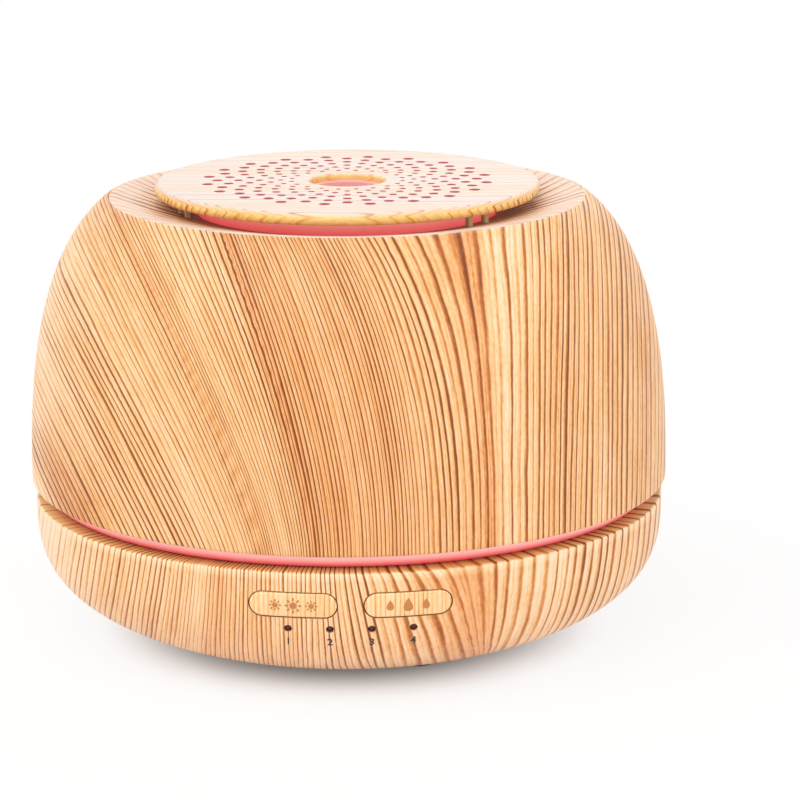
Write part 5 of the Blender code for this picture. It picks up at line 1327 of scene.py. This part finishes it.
disc_maps = film_maps(start, x + 0 * z, even(2.5), even(0.0), even(0.0))
top_face = ease(z, DISC_TOP - 0.9, DISC_TOP - 0.1) * ease(radius, OUTLET, OUTLET + 0.6)
edge_bold = 0.35 + 0.8 * np.clip(np.abs(x) / DISC_RADIUS, 0, 1) ** 2
disc_maps["grade"][:, :, 0] = edge_bold + (0.9 - edge_bold) * top_face
# On the top face the film is washed almost white, with broad streaks: a painted reflection of the light from
# above.
broad = 0.6 * np.sin(start / 4.3 + 0.8) + 0.4 * np.sin(start / 1.9 + x / 31.0)
disc_maps["grade"][:, :, 1] = (0.82 + 0.15 * broad) * top_face
disc_mesh = skin("disc", turn_profile(disc_profile, COLUMNS), closed=True, maps=disc_maps)


def vent_bars():
    """All vent holes as one mesh of bars: rings of twenty, each second ring turned by half a step."""
    ring = np.repeat(np.arange(VENT_RINGS), VENT_HOLES)
    step_number = np.tile(np.arange(VENT_HOLES), VENT_RINGS) + np.where(ring % 2 == 0, 0.5, 0.0)
    turn = 2 * np.pi * step_number / VENT_HOLES
    radius = VENT_FIRST + VENT_PITCH * ring
    bore = VENT_BORES[0] + (VENT_BORES[1] - VENT_BORES[0]) * ring / (VENT_RINGS - 1)
    t = np.linspace(0.0, 2 * np.pi, VENT_SIDES, endpoint=False)
    x = (radius * np.sin(turn))[:, None] + bore[:, None] / 2 * np.cos(t)
    y = (-radius * np.cos(turn))[:, None] + bore[:, None] / 2 * np.sin(t)
    low = np.stack([x, y, 0 * x + DISC_LOW - 1.0], -1)
    high = np.stack([x, y, 0 * x + DISC_TOP + 1.0], -1)
    points = np.concatenate([low, high], axis=1).reshape(-1, 3) * MM
    first = 2 * VENT_SIDES * np.arange(len(ring))[:, None]
    i = np.arange(VENT_SIDES)
    following = (i + 1) % VENT_SIDES
    sides = np.stack([i, following, following + VENT_SIDES, i + VENT_SIDES], -1)
    faces = (first[:, :, None] + sides[None]).reshape(-1, 4).tolist()
    faces += (first + i[::-1]).tolist() + (first + i + VENT_SIDES).tolist()
    mesh = bpy.data.meshes.new("vents")
    mesh.from_pydata(points.tolist(), [], faces)
    return mesh


hook_top = float(dish_height(LEG_RADIUS - 1.4)) - WALL - 0.3
legs = [leg_bar(turn, spot, *LEG_STEM, hook_top - 1.3, DISC_LOW + 0.9) for turn, spot in leg_spots()]
legs += [leg_bar(turn, spot, *LEG_HOOK, hook_top - 1.4, hook_top) for turn, spot in leg_spots()]
# Walls of the vent holes: their pink colour and glow are painted red light, the drum's light falling on them
# from below.
VENT_GLOW = (srgb(222, 70, 84), srgb(206, 70, 84))
VENT_WALL_RED_LIGHT = lit_plastic("vent_wall_red_light", srgb(196, 116, 116), srgb(204, 108, 110), VENT_GLOW, 116.0, 121.0, 0.2)
vents = vent_bars()
LEG_PLASTIC = moulded("leg_plastic", srgb(252, 226, 176), 0.45)
disc_finishes = [DISC_FILM, VENT_WALL_RED_LIGHT, LEG_PLASTIC]
coat(disc_mesh, disc_finishes)
coat(vents, disc_finishes, 1)
for leg in legs:
    coat(leg, disc_finishes, 2)
disc_mesh = carve(disc_mesh, [vents], legs)
place("perforated_vent_disc", disc_mesh, "cover", disc_finishes, ["vent_disc"])
